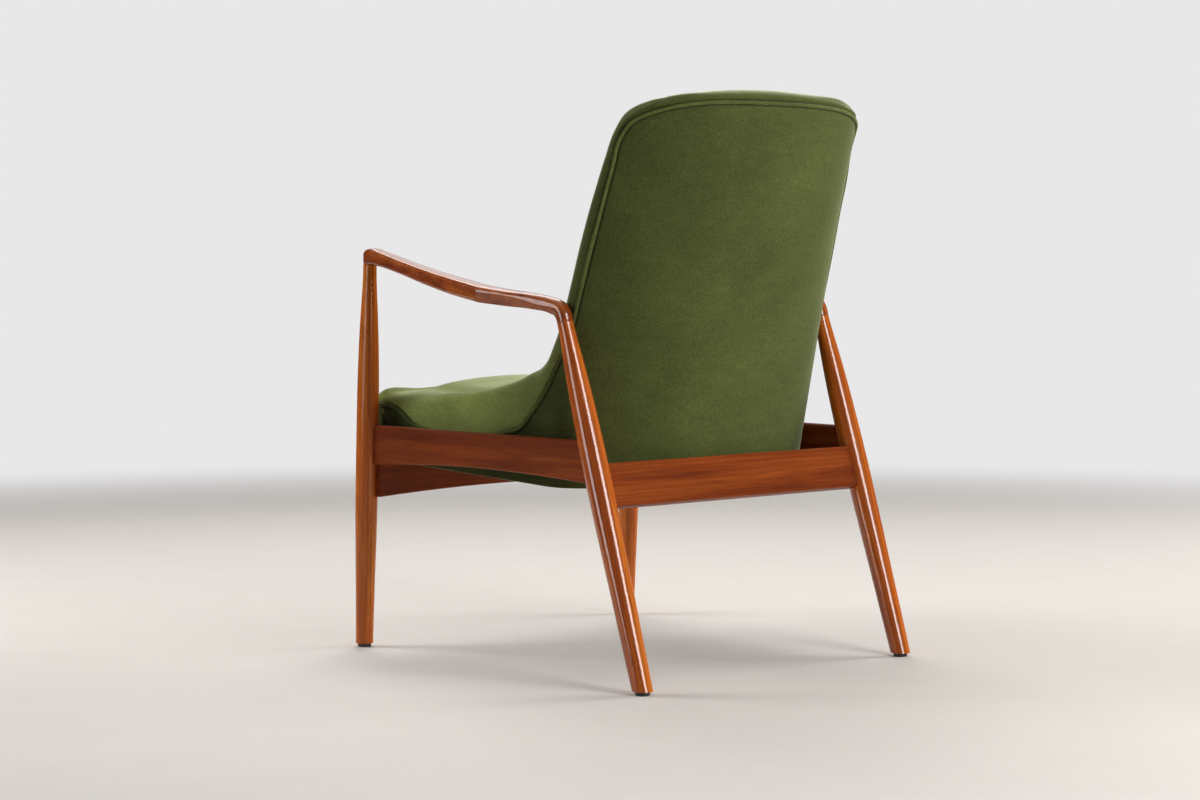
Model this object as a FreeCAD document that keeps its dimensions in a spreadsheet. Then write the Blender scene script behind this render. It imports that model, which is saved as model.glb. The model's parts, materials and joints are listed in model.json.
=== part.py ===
import FreeCAD, Part
import math
import os
import Sketcher

os.makedirs("parts", exist_ok=True)
V = FreeCAD.Vector
doc = FreeCAD.newDocument("occasional_chair")

# ---------------------------------------------------------------- driving dimensions (mm)
sheet = doc.addObject("Spreadsheet::Sheet", "Dims")
DIMS = [
    # show-wood frame, overall
    ("depth_shift", 335.2),        # from the rear feet's line to the middle of the depth
    ("glide_height", 6.0),
    ("glide_radius", 11.0),
    ("glide_edge", 1.6),
    ("nail_radius", 1.6),
    ("nail_length", 22.0),
    # rear leg, raked backwards
    ("rear_foot_x", 280.2),
    ("rear_lean_x", -0.0061),
    ("rear_rake", -0.3254),
    ("rear_leg_top", 535.4),
    ("rear_rad_foot", 15.0), ("rear_rad_low", 16.8), ("rear_rad_calf", 18.4), ("rear_rad_rail", 19.5),
    ("rear_rad_hip", 19.3), ("rear_rad_waist", 18.1), ("rear_rad_neck", 15.8), ("rear_rad_collar", 13.7), ("rear_rad_top", 12.1),
    # front leg, nearly upright
    ("front_foot_x", 289.7),
    ("front_foot_y", -656.4),
    ("front_rake", 0.032),
    ("front_leg_top", 624.0),
    ("front_rad_foot", 14.0), ("front_rad_low", 15.5), ("front_rad_calf", 17.3), ("front_rad_rail", 18.0),
    ("front_rad_seat", 17.9), ("front_rad_waist", 16.5), ("front_rad_neck", 13.5), ("front_rad_top", 10.8),
    # side rail
    ("side_rail_thick", 18.8),
    ("side_rail_top", 362.0),
    ("side_rail_front_low", 296.6),
    ("side_rail_arch", 307.8),
    ("side_rail_rear_low", 298.0),
    ("side_rail_face_front", 291.6),
    ("side_rail_face_rear", 280.4),
    ("edge_round", 2.0),
    # rear rail
    ("rear_rail_low", 265.0),
    ("rear_rail_top", 328.0),
    ("rear_rail_thick", 22.0),
    ("rear_rail_face", 9.6),
    # front rail
    ("front_rail_low", 246.0),
    ("front_rail_arch", 254.5),
    ("front_rail_top", 305.0),
    ("front_rail_thick", 25.0),
    ("front_rail_inner", -620.0),
    # dowels
    ("dowel_radius", 4.0),
    ("dowel_length", 40.0),
    ("arm_dowel_radius", 4.0),
    ("arm_dowel_length", 44.0),
    # upholstered shell
    ("cover_thick", 2.0),
    ("ply_thick", 10.0),
    ("piping_radius", 3.0),
    ("seat_slope", -0.046),
    ("seat_under_z", 297.6),
    ("seat_under_y", -450.0),
    ("seat_rail_high", 32.0),
    ("seat_rail_wide", 20.0),
    ("seat_rail_face", 246.0),
    ("seat_front_wide", 55.0),
    ("seat_front_y", -646.0),
    ("seat_rear_y", -215.5),
    ("strap_wide", 50.0),
    ("strap_thick", 2.0),
    ("dust_thick", 1.0),
    # brackets and screws
    ("bracket_wide", 24.0),
    ("bracket_front_x", 30.0),
    ("bracket_rear_x", 140.0),
    ("bracket_thick", 3.0),
    ("screw_radius", 2.0),
    ("screw_head_radius", 4.0),
    ("screw_head_high", 2.4),
]
for i, (name, value) in enumerate(DIMS):
    sheet.set("A%d" % (i + 1), name)
    sheet.set("B%d" % (i + 1), "%g" % value)
    sheet.setAlias("B%d" % (i + 1), name)
doc.recompute()
D = {name: float(getattr(sheet, name)) for name, value in DIMS}
SH = D["depth_shift"]
NODES = []


def node(obj, name):
    obj.Label = name
    NODES.append(obj)
    return obj


def plane(body, role):
    for f in body.Origin.OriginFeatures:
        if f.Role == role:
            return f
    raise RuntimeError(role)


def body(name):
    return doc.addObject("PartDesign::Body", name)


def sketch(b, name, role, offset=None):
    s = b.newObject("Sketcher::SketchObject", name)
    s.AttachmentSupport = [(plane(b, role), "")]
    s.MapMode = "FlatFace"
    if offset is not None:
        s.AttachmentOffset = offset
    return s


def circle(b, name, height, radius_cell, height_value):
    """a circle parallel to XY at a height, its radius bound to a cell"""
    s = sketch(b, name, "XY_Plane", FreeCAD.Placement(V(0, 0, height_value), FreeCAD.Rotation()))
    s.addGeometry(Part.Circle(V(0, 0, 0), V(0, 0, 1), D[radius_cell]), False)
    s.addConstraint(Sketcher.Constraint("Coincident", 0, 3, -1, 1))
    k = s.addConstraint(Sketcher.Constraint("Radius", 0, D[radius_cell]))
    s.renameConstraint(k, "radius")
    s.setExpression("Constraints.radius", "Dims." + radius_cell)
    if height:
        s.setExpression(".AttachmentOffset.Base.z", height)
    return s


def polygon(s, pts, cells=None):
    """closed polygon; each corner is held by its two distances from the origin"""
    n = len(pts)
    for i in range(n):
        a, b_ = pts[i], pts[(i + 1) % n]
        s.addGeometry(Part.LineSegment(V(a[0], a[1], 0), V(b_[0], b_[1], 0)), False)
    for i in range(n):
        s.addConstraint(Sketcher.Constraint("Coincident", i, 2, (i + 1) % n, 1))
    for i in range(n):
        kx = s.addConstraint(Sketcher.Constraint("DistanceX", -1, 1, i, 1, pts[i][0]))
        ky = s.addConstraint(Sketcher.Constraint("DistanceY", -1, 1, i, 1, pts[i][1]))
        for k, key in ((kx, "x%d" % i), (ky, "y%d" % i)):
            s.renameConstraint(k, key)
            if cells and key in cells:
                s.setExpression("Constraints." + key, cells[key])


def pad(b, s, length, cell=None, midplane=False, name="Pad"):
    p = b.newObject("PartDesign::Pad", name)
    p.Profile = s
    p.Length = length
    if cell:
        p.setExpression("Length", cell)
    if midplane:
        p.SideType = "Symmetric" if hasattr(p, "SideType") else p.SideType
    return p


def mirror(src, name):
    m = doc.addObject("Part::Mirroring", name + "_mirror")
    m.Source = src
    m.Normal = V(1, 0, 0)
    m.Base = V(0, 0, 0)
    return node(m, name)


def cut(base, tool, name):
    c = doc.addObject("Part::Cut", name)
    c.Base = base
    c.Tool = tool
    return c


def cylinder(name, radius_cell, length_cell, base, direction):
    c = doc.addObject("Part::Cylinder", name)
    c.setExpression("Radius", "Dims." + radius_cell)
    c.setExpression("Height", "Dims." + length_cell)
    c.Placement = FreeCAD.Placement(base, FreeCAD.Rotation(V(0, 0, 1), direction))
    return c


def compound(name, links):
    c = doc.addObject("Part::Compound", name)
    c.Links = links
    return c


def y(v):
    """from the rear feet's line to the chair's own middle"""
    return v + SH


# ---------------------------------------------------------------- legs
def leg_point(kind, side, z):
    if kind == "rear":
        return V(side * (D["rear_foot_x"] + D["rear_lean_x"] * z), y(D["rear_rake"] * z), z)
    return V(side * D["front_foot_x"], y(D["front_foot_y"] + D["front_rake"] * z), z)


def leg(name, kind, stations, top):
    """turned leg: a loft through round sections square to its own axis"""
    foot = leg_point(kind, 1, 0)
    axis = leg_point(kind, 1, 100) - foot
    scale = axis.Length / 100.0
    axis.normalize()
    b = body(name + "_turned")
    sks = []
    for i, (z, cell) in enumerate(stations):
        sks.append(circle(b, name + "_s%d" % i, None, cell, z * scale))
    loft = b.newObject("PartDesign::AdditiveLoft", name + "_loft")
    loft.Profile = sks[0]
    loft.Sections = sks[1:]
    loft.Ruled = False
    loft.Closed = False
    b.Placement = FreeCAD.Placement(foot, FreeCAD.Rotation(V(0, 0, 1), axis))
    return b


rear_body = leg("rear_leg", "rear",
                [(-8, "rear_rad_foot"), (100, "rear_rad_low"), (200, "rear_rad_calf"), (285, "rear_rad_rail"),
                 (345, "rear_rad_hip"), (405, "rear_rad_waist"), (465, "rear_rad_neck"), (500, "rear_rad_collar"), (D["rear_leg_top"], "rear_rad_top")],
                "rear_leg_top")
front_body = leg("front_leg", "front",
                 [(-8, "front_rad_foot"), (100, "front_rad_low"), (190, "front_rad_calf"), (270, "front_rad_rail"),
                  (360, "front_rad_seat"), (475, "front_rad_waist"), (550, "front_rad_neck"), (D["front_leg_top"], "front_rad_top")],
                 "front_leg_top")
doc.recompute()

# everything under the glides' top is cut off, so each leg ends flat on its glide
floor_box = doc.addObject("Part::Box", "under_legs")
floor_box.Length, floor_box.Width, floor_box.Height = 800, 900, 60
floor_box.Placement.Base = V(-400, -450, -60 + D["glide_height"])
floor_box.setExpression(".Placement.Base.z", "Dims.glide_height - 60")

# ---------------------------------------------------------------- glides and their nails
glide_at = {}
for kind in ("front", "rear"):
    for side, word in ((1, "left"), (-1, "right")):
        c = leg_point(kind, side, D["glide_height"])
        glide_at[(kind, word)] = c
        b = body("glide_%s_%s_puck" % (kind, word))
        s = sketch(b, "glide_%s_%s_disc" % (kind, word), "XY_Plane")
        s.addGeometry(Part.Circle(V(0, 0, 0), V(0, 0, 1), D["glide_radius"]), False)
        s.addConstraint(Sketcher.Constraint("Coincident", 0, 3, -1, 1))
        k = s.addConstraint(Sketcher.Constraint("Radius", 0, D["glide_radius"]))
        s.renameConstraint(k, "radius")
        s.setExpression("Constraints.radius", "Dims.glide_radius")
        p = pad(b, s, D["glide_height"], "Dims.glide_height", name="glide_%s_%s_pad" % (kind, word))
        doc.recompute()
        low = [("Edge%d" % (i + 1)) for i, e in enumerate(p.Shape.Edges)
               if e.Closed and abs(e.CenterOfMass.z) < 1e-6]
        f = b.newObject("PartDesign::Fillet", "glide_%s_%s_round" % (kind, word))
        f.Base = (p, low)
        f.Radius = D["glide_edge"]
        f.setExpression("Radius", "Dims.glide_edge")
        b.Placement = FreeCAD.Placement(V(c.x, c.y, 0), FreeCAD.Rotation())
        node(b, "glide_%s_%s" % (kind, word))
nails = []
for (kind, word), c in glide_at.items():
    side = 1 if word == "left" else -1
    axis = leg_point(kind, side, 100) - leg_point(kind, side, 0)
    axis.normalize()
    nails.append(cylinder("nail_%s_%s" % (kind, word), "nail_radius", "nail_length", V(c.x, c.y, D["glide_height"]), axis))
glide_nails = compound("glide_nail_group", nails)
doc.recompute()

# ---------------------------------------------------------------- rails (blanks, trimmed by the legs below)
toe = math.atan2(D["side_rail_face_front"] - D["side_rail_face_rear"], 545.0)
b_side = body("side_rail_blank")
s = sketch(b_side, "side_rail_profile", "YZ_Plane")
Y0s, Ym = -646.3, -385.0
TOP = D["side_rail_top"]
# the rear end leans with the raked leg and stops on the leg's axis
low_end = D["side_rail_rear_low"] - 1.0
pts = [(y(Y0s), TOP), (y(Y0s), D["side_rail_front_low"]), (y(D["rear_rake"] * low_end), low_end), (y(D["rear_rake"] * TOP), TOP)]
arc = Part.Arc(V(pts[1][0], pts[1][1], 0), V(y(Ym), D["side_rail_arch"], 0), V(pts[2][0], pts[2][1], 0))
s.addGeometry(Part.LineSegment(V(pts[0][0], pts[0][1], 0), V(pts[1][0], pts[1][1], 0)), False)
s.addGeometry(arc, False)
s.addGeometry(Part.LineSegment(V(pts[2][0], pts[2][1], 0), V(pts[3][0], pts[3][1], 0)), False)
s.addGeometry(Part.LineSegment(V(pts[3][0], pts[3][1], 0), V(pts[0][0], pts[0][1], 0)), False)
for a_, b_ in (((0, 2), (1, 1)), ((1, 2), (2, 1)), ((2, 2), (3, 1)), ((3, 2), (0, 1))):
    g0, g1 = s.Geometry[a_[0]], s.Geometry[b_[0]]
    # an arc may run the other way round, so each joint is made where the ends really meet
    best = min(((pa, pb) for pa in (1, 2) for pb in (1, 2)),
               key=lambda q: (s.getPoint(a_[0], q[0]) - s.getPoint(b_[0], q[1])).Length)
    s.addConstraint(Sketcher.Constraint("Coincident", a_[0], best[0], b_[0], best[1]))
k = s.addConstraint(Sketcher.Constraint("DistanceY", -1, 1, 0, 1, TOP))
s.renameConstraint(k, "top")
s.setExpression("Constraints.top", "Dims.side_rail_top")
s.addConstraint(Sketcher.Constraint("Horizontal", 3))
s.addConstraint(Sketcher.Constraint("Vertical", 0))
s.addConstraint(Sketcher.Constraint("DistanceX", -1, 1, 0, 1, pts[0][0]))
s.addConstraint(Sketcher.Constraint("DistanceX", -1, 1, 2, 1, pts[2][0]))
s.addConstraint(Sketcher.Constraint("DistanceY", -1, 1, 2, 1, pts[2][1]))
s.addConstraint(Sketcher.Constraint("DistanceX", -1, 1, 2, 2, pts[3][0]))
k = s.addConstraint(Sketcher.Constraint("DistanceY", -1, 1, 0, 2, pts[1][1]))
s.renameConstraint(k, "front_low")
s.setExpression("Constraints.front_low", "Dims.side_rail_front_low")
p = pad(b_side, s, D["side_rail_thick"], "Dims.side_rail_thick", name="side_rail_pad")
doc.recompute()


def long_edges(shape, least, keep=lambda e: True):
    return ["Edge%d" % (i + 1) for i, e in enumerate(shape.Edges) if e.Length > least and keep(e)]


f = b_side.newObject("PartDesign::Chamfer", "side_rail_eased")
f.Base = (p, long_edges(p.Shape, 400))
f.Size = D["edge_round"]
f.setExpression("Size", "Dims.edge_round")
# the pad grows along +X from the blank's inner face; the rail toes in towards the rear
bb = p.Shape.BoundBox
x_in = D["side_rail_face_front"] - D["side_rail_thick"]
pivot = V(0, y(-634.0), 0)
rot = FreeCAD.Rotation(V(0, 0, 1), math.degrees(toe))
b_side.Placement = FreeCAD.Placement(V(x_in - bb.XMin, 0, 0) + pivot - rot.multVec(pivot), rot)

b_rear = body("rear_rail_blank")
rake = math.atan(-D["rear_rake"])
s = sketch(b_rear, "rear_rail_profile", "YZ_Plane")
c18 = math.cos(rake)
y_out = D["rear_rail_face"] * c18
polygon(s, [(y_out, D["rear_rail_low"] / c18), (y_out, D["rear_rail_top"] / c18),
            (y_out - D["rear_rail_thick"], D["rear_rail_top"] / c18), (y_out - D["rear_rail_thick"], D["rear_rail_low"] / c18)],
        {"y0": "Dims.rear_rail_low / %.6f" % c18, "y1": "Dims.rear_rail_top / %.6f" % c18,
         "y2": "Dims.rear_rail_top / %.6f" % c18, "y3": "Dims.rear_rail_low / %.6f" % c18,
         "x0": "Dims.rear_rail_face * %.6f" % c18, "x1": "Dims.rear_rail_face * %.6f" % c18,
         "x2": "Dims.rear_rail_face * %.6f - Dims.rear_rail_thick" % c18,
         "x3": "Dims.rear_rail_face * %.6f - Dims.rear_rail_thick" % c18})
p = pad(b_rear, s, 556.0, name="rear_rail_pad")
doc.recompute()
f = b_rear.newObject("PartDesign::Fillet", "rear_rail_eased")
f.Base = (p, long_edges(p.Shape, 400))
f.Radius = D["edge_round"]
f.setExpression("Radius", "Dims.edge_round")
rot = FreeCAD.Rotation(V(1, 0, 0), math.degrees(rake))
b_rear.Placement = FreeCAD.Placement(V(-p.Shape.BoundBox.Center.x, y(0), 0), rot)

b_front = body("front_rail_blank")
s = sketch(b_front, "front_rail_profile", "XZ_Plane")
xa = 283.0
arc = Part.Arc(V(-xa, D["front_rail_low"], 0), V(0, D["front_rail_arch"], 0), V(xa, D["front_rail_low"], 0))
s.addGeometry(Part.LineSegment(V(-xa, D["front_rail_top"], 0), V(-xa, D["front_rail_low"], 0)), False)
s.addGeometry(arc, False)
s.addGeometry(Part.LineSegment(V(xa, D["front_rail_low"], 0), V(xa, D["front_rail_top"], 0)), False)
s.addGeometry(Part.LineSegment(V(xa, D["front_rail_top"], 0), V(-xa, D["front_rail_top"], 0)), False)
for g0, g1 in ((0, 1), (1, 2), (2, 3), (3, 0)):
    best = min(((pa, pb) for pa in (1, 2) for pb in (1, 2)),
               key=lambda q: (s.getPoint(g0, q[0]) - s.getPoint(g1, q[1])).Length)
    s.addConstraint(Sketcher.Constraint("Coincident", g0, best[0], g1, best[1]))
s.addConstraint(Sketcher.Constraint("Vertical", 0))
s.addConstraint(Sketcher.Constraint("Vertical", 2))
s.addConstraint(Sketcher.Constraint("Horizontal", 3))
k = s.addConstraint(Sketcher.Constraint("DistanceY", -1, 1, 0, 1, D["front_rail_top"]))
s.renameConstraint(k, "top")
s.setExpression("Constraints.top", "Dims.front_rail_top")
k = s.addConstraint(Sketcher.Constraint("DistanceY", -1, 1, 0, 2, D["front_rail_low"]))
s.renameConstraint(k, "low")
s.setExpression("Constraints.low", "Dims.front_rail_low")
s.addConstraint(Sketcher.Constraint("DistanceX", -1, 1, 0, 1, -xa))
s.addConstraint(Sketcher.Constraint("DistanceX", -1, 1, 2, 2, xa))
p = pad(b_front, s, D["front_rail_thick"], "Dims.front_rail_thick", name="front_rail_pad")
doc.recompute()
f = b_front.newObject("PartDesign::Fillet", "front_rail_eased")
f.Base = (p, long_edges(p.Shape, 400))
f.Radius = D["edge_round"]
f.setExpression("Radius", "Dims.edge_round")
b_front.Placement = FreeCAD.Placement(V(0, y(D["front_rail_inner"]) - p.Shape.BoundBox.YMax, 0), FreeCAD.Rotation())
doc.recompute()


# ---------------------------------------------------------------- armrests
def section(c, dirv, hw, hh, n, count=24):
    """closed section square to dirv, its points evenly spaced: hw across, hh up, exponent n (2 round, 3 squarer)"""
    d = V(*dirv)
    d.normalize()
    across = V(1, 0, 0) - d * d.x
    across.normalize()
    up = d.cross(across)
    if up.z < 0 or (abs(d.z) > 0.7 and up.y < 0):
        up = up * -1
    fine = []
    for i in range(721):
        a = 2 * math.pi * i / 720.0 - math.pi / 2
        ca, sa = math.cos(a), math.sin(a)
        fine.append((hw * math.copysign(abs(ca) ** (2.0 / n), ca), hh * math.copysign(abs(sa) ** (2.0 / n), sa)))
    run = [0.0]
    for p_, q_ in zip(fine, fine[1:]):
        run.append(run[-1] + math.hypot(q_[0] - p_[0], q_[1] - p_[1]))
    out, k_ = [], 0
    for i in range(count):
        want = run[-1] * i / count
        while run[k_ + 1] < want:
            k_ += 1
        t_ = (want - run[k_]) / max(run[k_ + 1] - run[k_], 1e-9)
        px = fine[k_][0] + (fine[k_ + 1][0] - fine[k_][0]) * t_
        py = fine[k_][1] + (fine[k_ + 1][1] - fine[k_][1]) * t_
        out.append(V(*c) + across * px + up * py)
    return out


def even(stations, step):
    """stations set at an even distance along the arm, drawn through the given ones"""
    flat = [list(c) + list(V(*d).normalize()) + [w, h, n] for c, d, w, h, n in stations]
    run = [0.0]
    for p_, q_ in zip(flat, flat[1:]):
        run.append(run[-1] + math.dist(p_[:3], q_[:3]))
    # slopes of a smooth curve through unevenly spaced stations
    m = []
    for i in range(len(flat)):
        i0, i1 = max(i - 1, 0), min(i + 1, len(flat) - 1)
        if 0 < i < len(flat) - 1:
            h0, h1 = run[i] - run[i - 1], run[i + 1] - run[i]
            m.append([((flat[i][k] - flat[i - 1][k]) / h0 * h1 + (flat[i + 1][k] - flat[i][k]) / h1 * h0) / (h0 + h1)
                      for k in range(9)])
        else:
            m.append([(flat[i1][k] - flat[i0][k]) / (run[i1] - run[i0]) for k in range(9)])
    count = max(3, int(round(run[-1] / step)))
    out, j = [], 0
    for s_ in range(count + 1):
        want = run[-1] * s_ / count
        while j < len(run) - 2 and run[j + 1] < want:
            j += 1
        h = run[j + 1] - run[j]
        t = (want - run[j]) / h
        a0, a1 = 2 * t ** 3 - 3 * t ** 2 + 1, -2 * t ** 3 + 3 * t ** 2
        b0, b1 = t ** 3 - 2 * t ** 2 + t, t ** 3 - t ** 2
        out.append([a0 * flat[j][k] + a1 * flat[j + 1][k] + h * (b0 * m[j][k] + b1 * m[j + 1][k]) for k in range(9)])
    return [(q_[:3], q_[3:6], q_[6], q_[7], q_[8]) for q_ in out]


def skin(stations, step):
    """closed solid lofted through even sections, each closed ring made of four curves"""
    wires = []
    for sec in even(stations, step):
        pts_ = section(*sec)
        ring_ = Part.BSplineCurve()
        ring_.interpolate(Points=pts_, PeriodicFlag=True)
        cut_at = [ring_.FirstParameter] + [ring_.parameter(pts_[k * len(pts_) // 4]) for k in (1, 2, 3)] + [ring_.LastParameter]
        e = []
        for k in range(4):
            c_ = ring_.copy()
            c_.segment(cut_at[k], cut_at[k + 1])
            e.append(c_.toShape())
        wires.append(Part.Wire(e))
    return Part.makeLoft(wires, True, False)


axr = (D["rear_lean_x"], D["rear_rake"], 1.0)
z0 = D["rear_leg_top"]
ELBOW = ((317.0, y(-314.0), 577.8), (0.06, -0.985, 0.165), 19.5, 13.0, 4.0)
ARM_REAR = [
    ((D["rear_foot_x"] + D["rear_lean_x"] * z0, y(D["rear_rake"] * z0), z0), axr, 12.1, 12.1, 2.0),
    ((276.9, y(-178.0), 546.5), (0.0, -0.37, 0.93), 12.5, 12.5, 2.05),
    ((277.7, y(-185.2), 556.0), (0.05, -0.78, 0.62), 13.0, 12.6, 2.2),
    ((281.0, y(-200.5), 562.1), (0.18, -0.975, 0.12), 14.2, 12.0, 2.5),
    ((290.5, y(-229.0), 567.7), (0.27, -0.96, 0.085), 16.0, 11.8, 3.0),
    ((304.0, y(-270.0), 572.3), (0.27, -0.955, 0.11), 18.2, 12.3, 3.5),
    ELBOW,
]
ARM_FRONT = [
    ELBOW,
    ((313.5, y(-375.0), 587.4), (-0.08, -0.97, 0.215), 18.0, 13.0, 4.5),
    ((305.5, y(-455.0), 601.3), (-0.1, -0.97, 0.215), 16.2, 11.9, 4.5),
    ((297.5, y(-535.0), 617.6), (-0.09, -0.97, 0.22), 14.6, 10.8, 4.5),
    ((291.8, y(-600.0), 630.3), (-0.06, -0.98, 0.17), 13.4, 11.7, 4.5),
    ((290.2, y(-627.0), 634.0), (-0.02, -1.0, 0.04), 12.4, 13.2, 4.2),
    ((289.9, y(-636.0), 633.0), (0.0, -1.0, -0.02), 11.6, 12.6, 3.8),
    ((289.8, y(-641.5), 631.4), (0.0, -1.0, -0.05), 9.9, 10.9, 3.4),
    ((289.8, y(-645.6), 629.8), (0.0, -1.0, -0.05), 7.0, 8.4, 3.0),
]
arm_shape = skin(ARM_REAR, 14.0).fuse(skin(ARM_FRONT, 24.0))
arm_blank = doc.addObject("Part::Feature", "armrest_sculpted")
arm_blank.Shape = arm_shape
arm_blank.Placement = FreeCAD.Placement()

# ---------------------------------------------------------------- dowels
dowels = []


def dowel_pair(name, mid, direction, spread):
    for i, off in enumerate(spread):
        d = V(*direction)
        d.normalize()
        base = V(*mid) + V(*off) - d * (D["dowel_length"] / 2)
        for side, word in ((1, "l"), (-1, "r")):
            bs = V(base.x * side, base.y, base.z)
            dd = V(d.x * side, d.y, d.z)
            dowels.append(cylinder("dowel_%s_%d_%s" % (name, i, word), "dowel_radius", "dowel_length", bs, dd))


f_at = leg_point("front", 1, 330)
r_at = leg_point("rear", 1, 330)
rx, rz = -math.sin(toe), 0
side_x = D["side_rail_face_front"] - D["side_rail_thick"] / 2
side_xr = D["side_rail_face_rear"] - D["side_rail_thick"] / 2
dowel_pair("side_front", (side_x + 0.5, f_at.y + 16.0, 331.0), (-0.0205, 1, 0), ((0, 0, 17), (0, 0, -17)))
dowel_pair("side_rear", (side_xr + 1.0, r_at.y - 20.5, 331.0), (-0.0205, 1, 0), ((0, 5.5, -16), (0, -5.5, 16)))
rr = leg_point("rear", 1, 297)
dowel_pair("rear_rail", (262.0, rr.y - 1.6, 297.0), (1, 0, 0), ((0, -4.9, 15), (0, 4.9, -15)))
fr = leg_point("front", 1, 275)
dowel_pair("front_rail", (270.0, y(D["front_rail_inner"] - 16.5), 274.0), (1, 0, 0), ((0, 0, 15), (0, 0, -15)))
rail_dowels = compound("rail_dowel_group", dowels)

arm_d = []
for side, word in ((1, "l"), (-1, "r")):
    c = leg_point("rear", side, z0)
    ax = leg_point("rear", side, 100) - leg_point("rear", side, 0)
    ax.normalize()
    arm_d.append(cylinder("arm_dowel_rear_" + word, "arm_dowel_radius", "arm_dowel_length",
                          c - ax * 30.0, ax))
    c = leg_point("front", side, 618)
    arm_d.append(cylinder("arm_dowel_front_" + word, "arm_dowel_radius", "arm_dowel_length",
                          c - V(0, 0, 32.0), V(0, 0, 1)))
arm_dowels = compound("arm_dowel_group", arm_d)
doc.recompute()

# ---------------------------------------------------------------- upholstered shell: its surfaces
SB = dict(y0=-44.2, lean=0.2495, curl=0.0883e-3, deep=68.8, soft=0.5652, half=250.8, z0=790.2, high=73.2, n=3.34)


def shell_y(x, z):
    """rear face of the back, at x and z"""
    sx = min(abs(x) / SB["half"], 1.06)
    g = SB["soft"] * sx ** 2 + (1 - SB["soft"]) * sx ** 7
    return SB["y0"] + SB["lean"] * (z - 700) + SB["curl"] * (z - 700) ** 2 - SB["deep"] * g


def top_edge(deg):
    a = math.radians(deg)
    x = SB["half"] * math.cos(a) ** (2 / SB["n"])
    z = SB["z0"] + SB["high"] * math.sin(a) ** (2 / SB["n"])
    return (x, shell_y(x, z), z)


xt = 170.0
zt = SB["z0"] + SB["high"] * (1 - (xt / SB["half"]) ** SB["n"]) ** (1 / SB["n"])
# rows from the front edge of the seat to the top of the back: middle (y, z), crest of the side, seam
ROWS = [
    ((-676.0, 386.0), (205.0, -665.5, 388.5), (246.0, -652.0, 392.0)),
    ((-684.0, 400.0), (208.0, -669.0, 398.0), (254.5, -643.0, 393.0)),
    ((-679.0, 418.0), (212.0, -661.0, 409.0), (258.5, -633.0, 393.8)),
    ((-660.0, 431.5), (217.0, -642.0, 418.5), (260.5, -618.0, 392.5)),
    ((-625.0, 437.0), (223.0, -608.0, 423.5), (261.5, -597.0, 385.0)),
    ((-565.0, 436.5), (228.0, -555.0, 426.0), (261.5, -560.0, 364.0)),
    ((-500.0, 431.5), (230.0, -500.0, 427.0), (261.0, -500.0, 353.5)),
    ((-430.0, 423.5), (231.0, -430.0, 427.8), (260.0, -435.0, 351.0)),
    ((-360.0, 414.5), (231.0, -365.0, 435.0), (259.0, -370.0, 355.0)),
    ((-300.0, 409.0), (231.0, -315.0, 445.2), (259.0, -330.0, 363.6)),
    ((-250.0, 411.0), (231.0, -278.0, 455.0), (262.0, -298.0, 371.0)),
    ((-213.0, 426.0), (232.0, -249.0, 465.5), (264.5, -265.0, 396.0)),
    ((-190.0, 455.0), (233.8, -229.0, 484.0), (266.0, -234.0, 428.0)),
    ((-174.0, 495.0), (235.2, -218.7, 509.5), (266.5, -208.0, 464.0)),
    ((-158.0, 545.0), (234.6, -207.0, 543.9), (265.5, -179.0, 510.0)),
    ((-141.0, 605.0), (233.0, -188.8, 599.1), (262.5, -159.0, 570.0)),
    ((-121.0, 675.0), (230.6, -167.6, 665.5), (259.0, -137.0, 640.0)),
    ((-101.0, 745.0), (228.0, -145.3, 729.8), (255.5, -116.0, 710.0)),
    ((-85.0, 800.0), (223.5, -126.1, 781.5), (252.0, -96.0, 770.0)),
    ((-73.5, 845.0), (214.3, -109.0, 823.6), (248.8, -85.0, 806.0)),
    ((-60.0, 874.5), (203.2, -91.5, 852.5), top_edge(22)),
    ((-34.0, 884.9), (197.5, -69.5, 864.4), top_edge(32)),
    ((-8.5, 879.0), (197.5, -45.0, 868.0), top_edge(40)),
    ((-1.1, 863.2), (xt, shell_y(xt, zt), zt), top_edge(47)),
]


def vsub(a, b_):
    return [p - q for p, q in zip(a, b_)]


def vadd(a, b_, k=1.0):
    return [p + q * k for p, q in zip(a, b_)]


def vlen(a):
    return math.sqrt(sum(q * q for q in a))


def unit(a):
    n = vlen(a)
    return [q / n for q in a] if n > 1e-9 else [0.0, 0.0, 1.0]


def row_points(row, nin=5, nfl=4):
    (cy, cz), K, Sm = row
    out = []
    for i in range(nin):
        q = i / float(nin)
        g = q ** 2.3
        out.append([K[0] * q, cy + (K[1] - cy) * g, cz + (K[2] - cz) * g])
    dk = unit([K[0], 2.3 * (K[1] - cy), 2.3 * (K[2] - cz)])
    d = vsub(K, Sm)
    L = vlen(d)
    up = unit([0.0, d[1], d[2]])
    up = unit([up[0] + 0.18, up[1], up[2]])
    p1 = vadd(K, dk, L * 0.48)
    p2 = vadd(Sm, up, L * 0.55)
    for i in range(nfl + 1):
        q = i / float(nfl)
        out.append([(1 - q) ** 3 * K[j] + 3 * (1 - q) ** 2 * q * p1[j] + 3 * (1 - q) * q * q * p2[j] + q ** 3 * Sm[j]
                    for j in range(3)])
    return out


def full_rows(trim=0.0):
    rows = []
    for r in ROWS:
        half = row_points(r)
        left = [[p[0], y(p[1]), p[2]] for p in half]
        right = [[-p[0], p[1], p[2]] for p in left[1:]][::-1]
        rows.append(right + left)
    return rows


def cross(a, b_):
    return [a[1] * b_[2] - a[2] * b_[1], a[2] * b_[0] - a[0] * b_[2], a[0] * b_[1] - a[1] * b_[0]]


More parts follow.
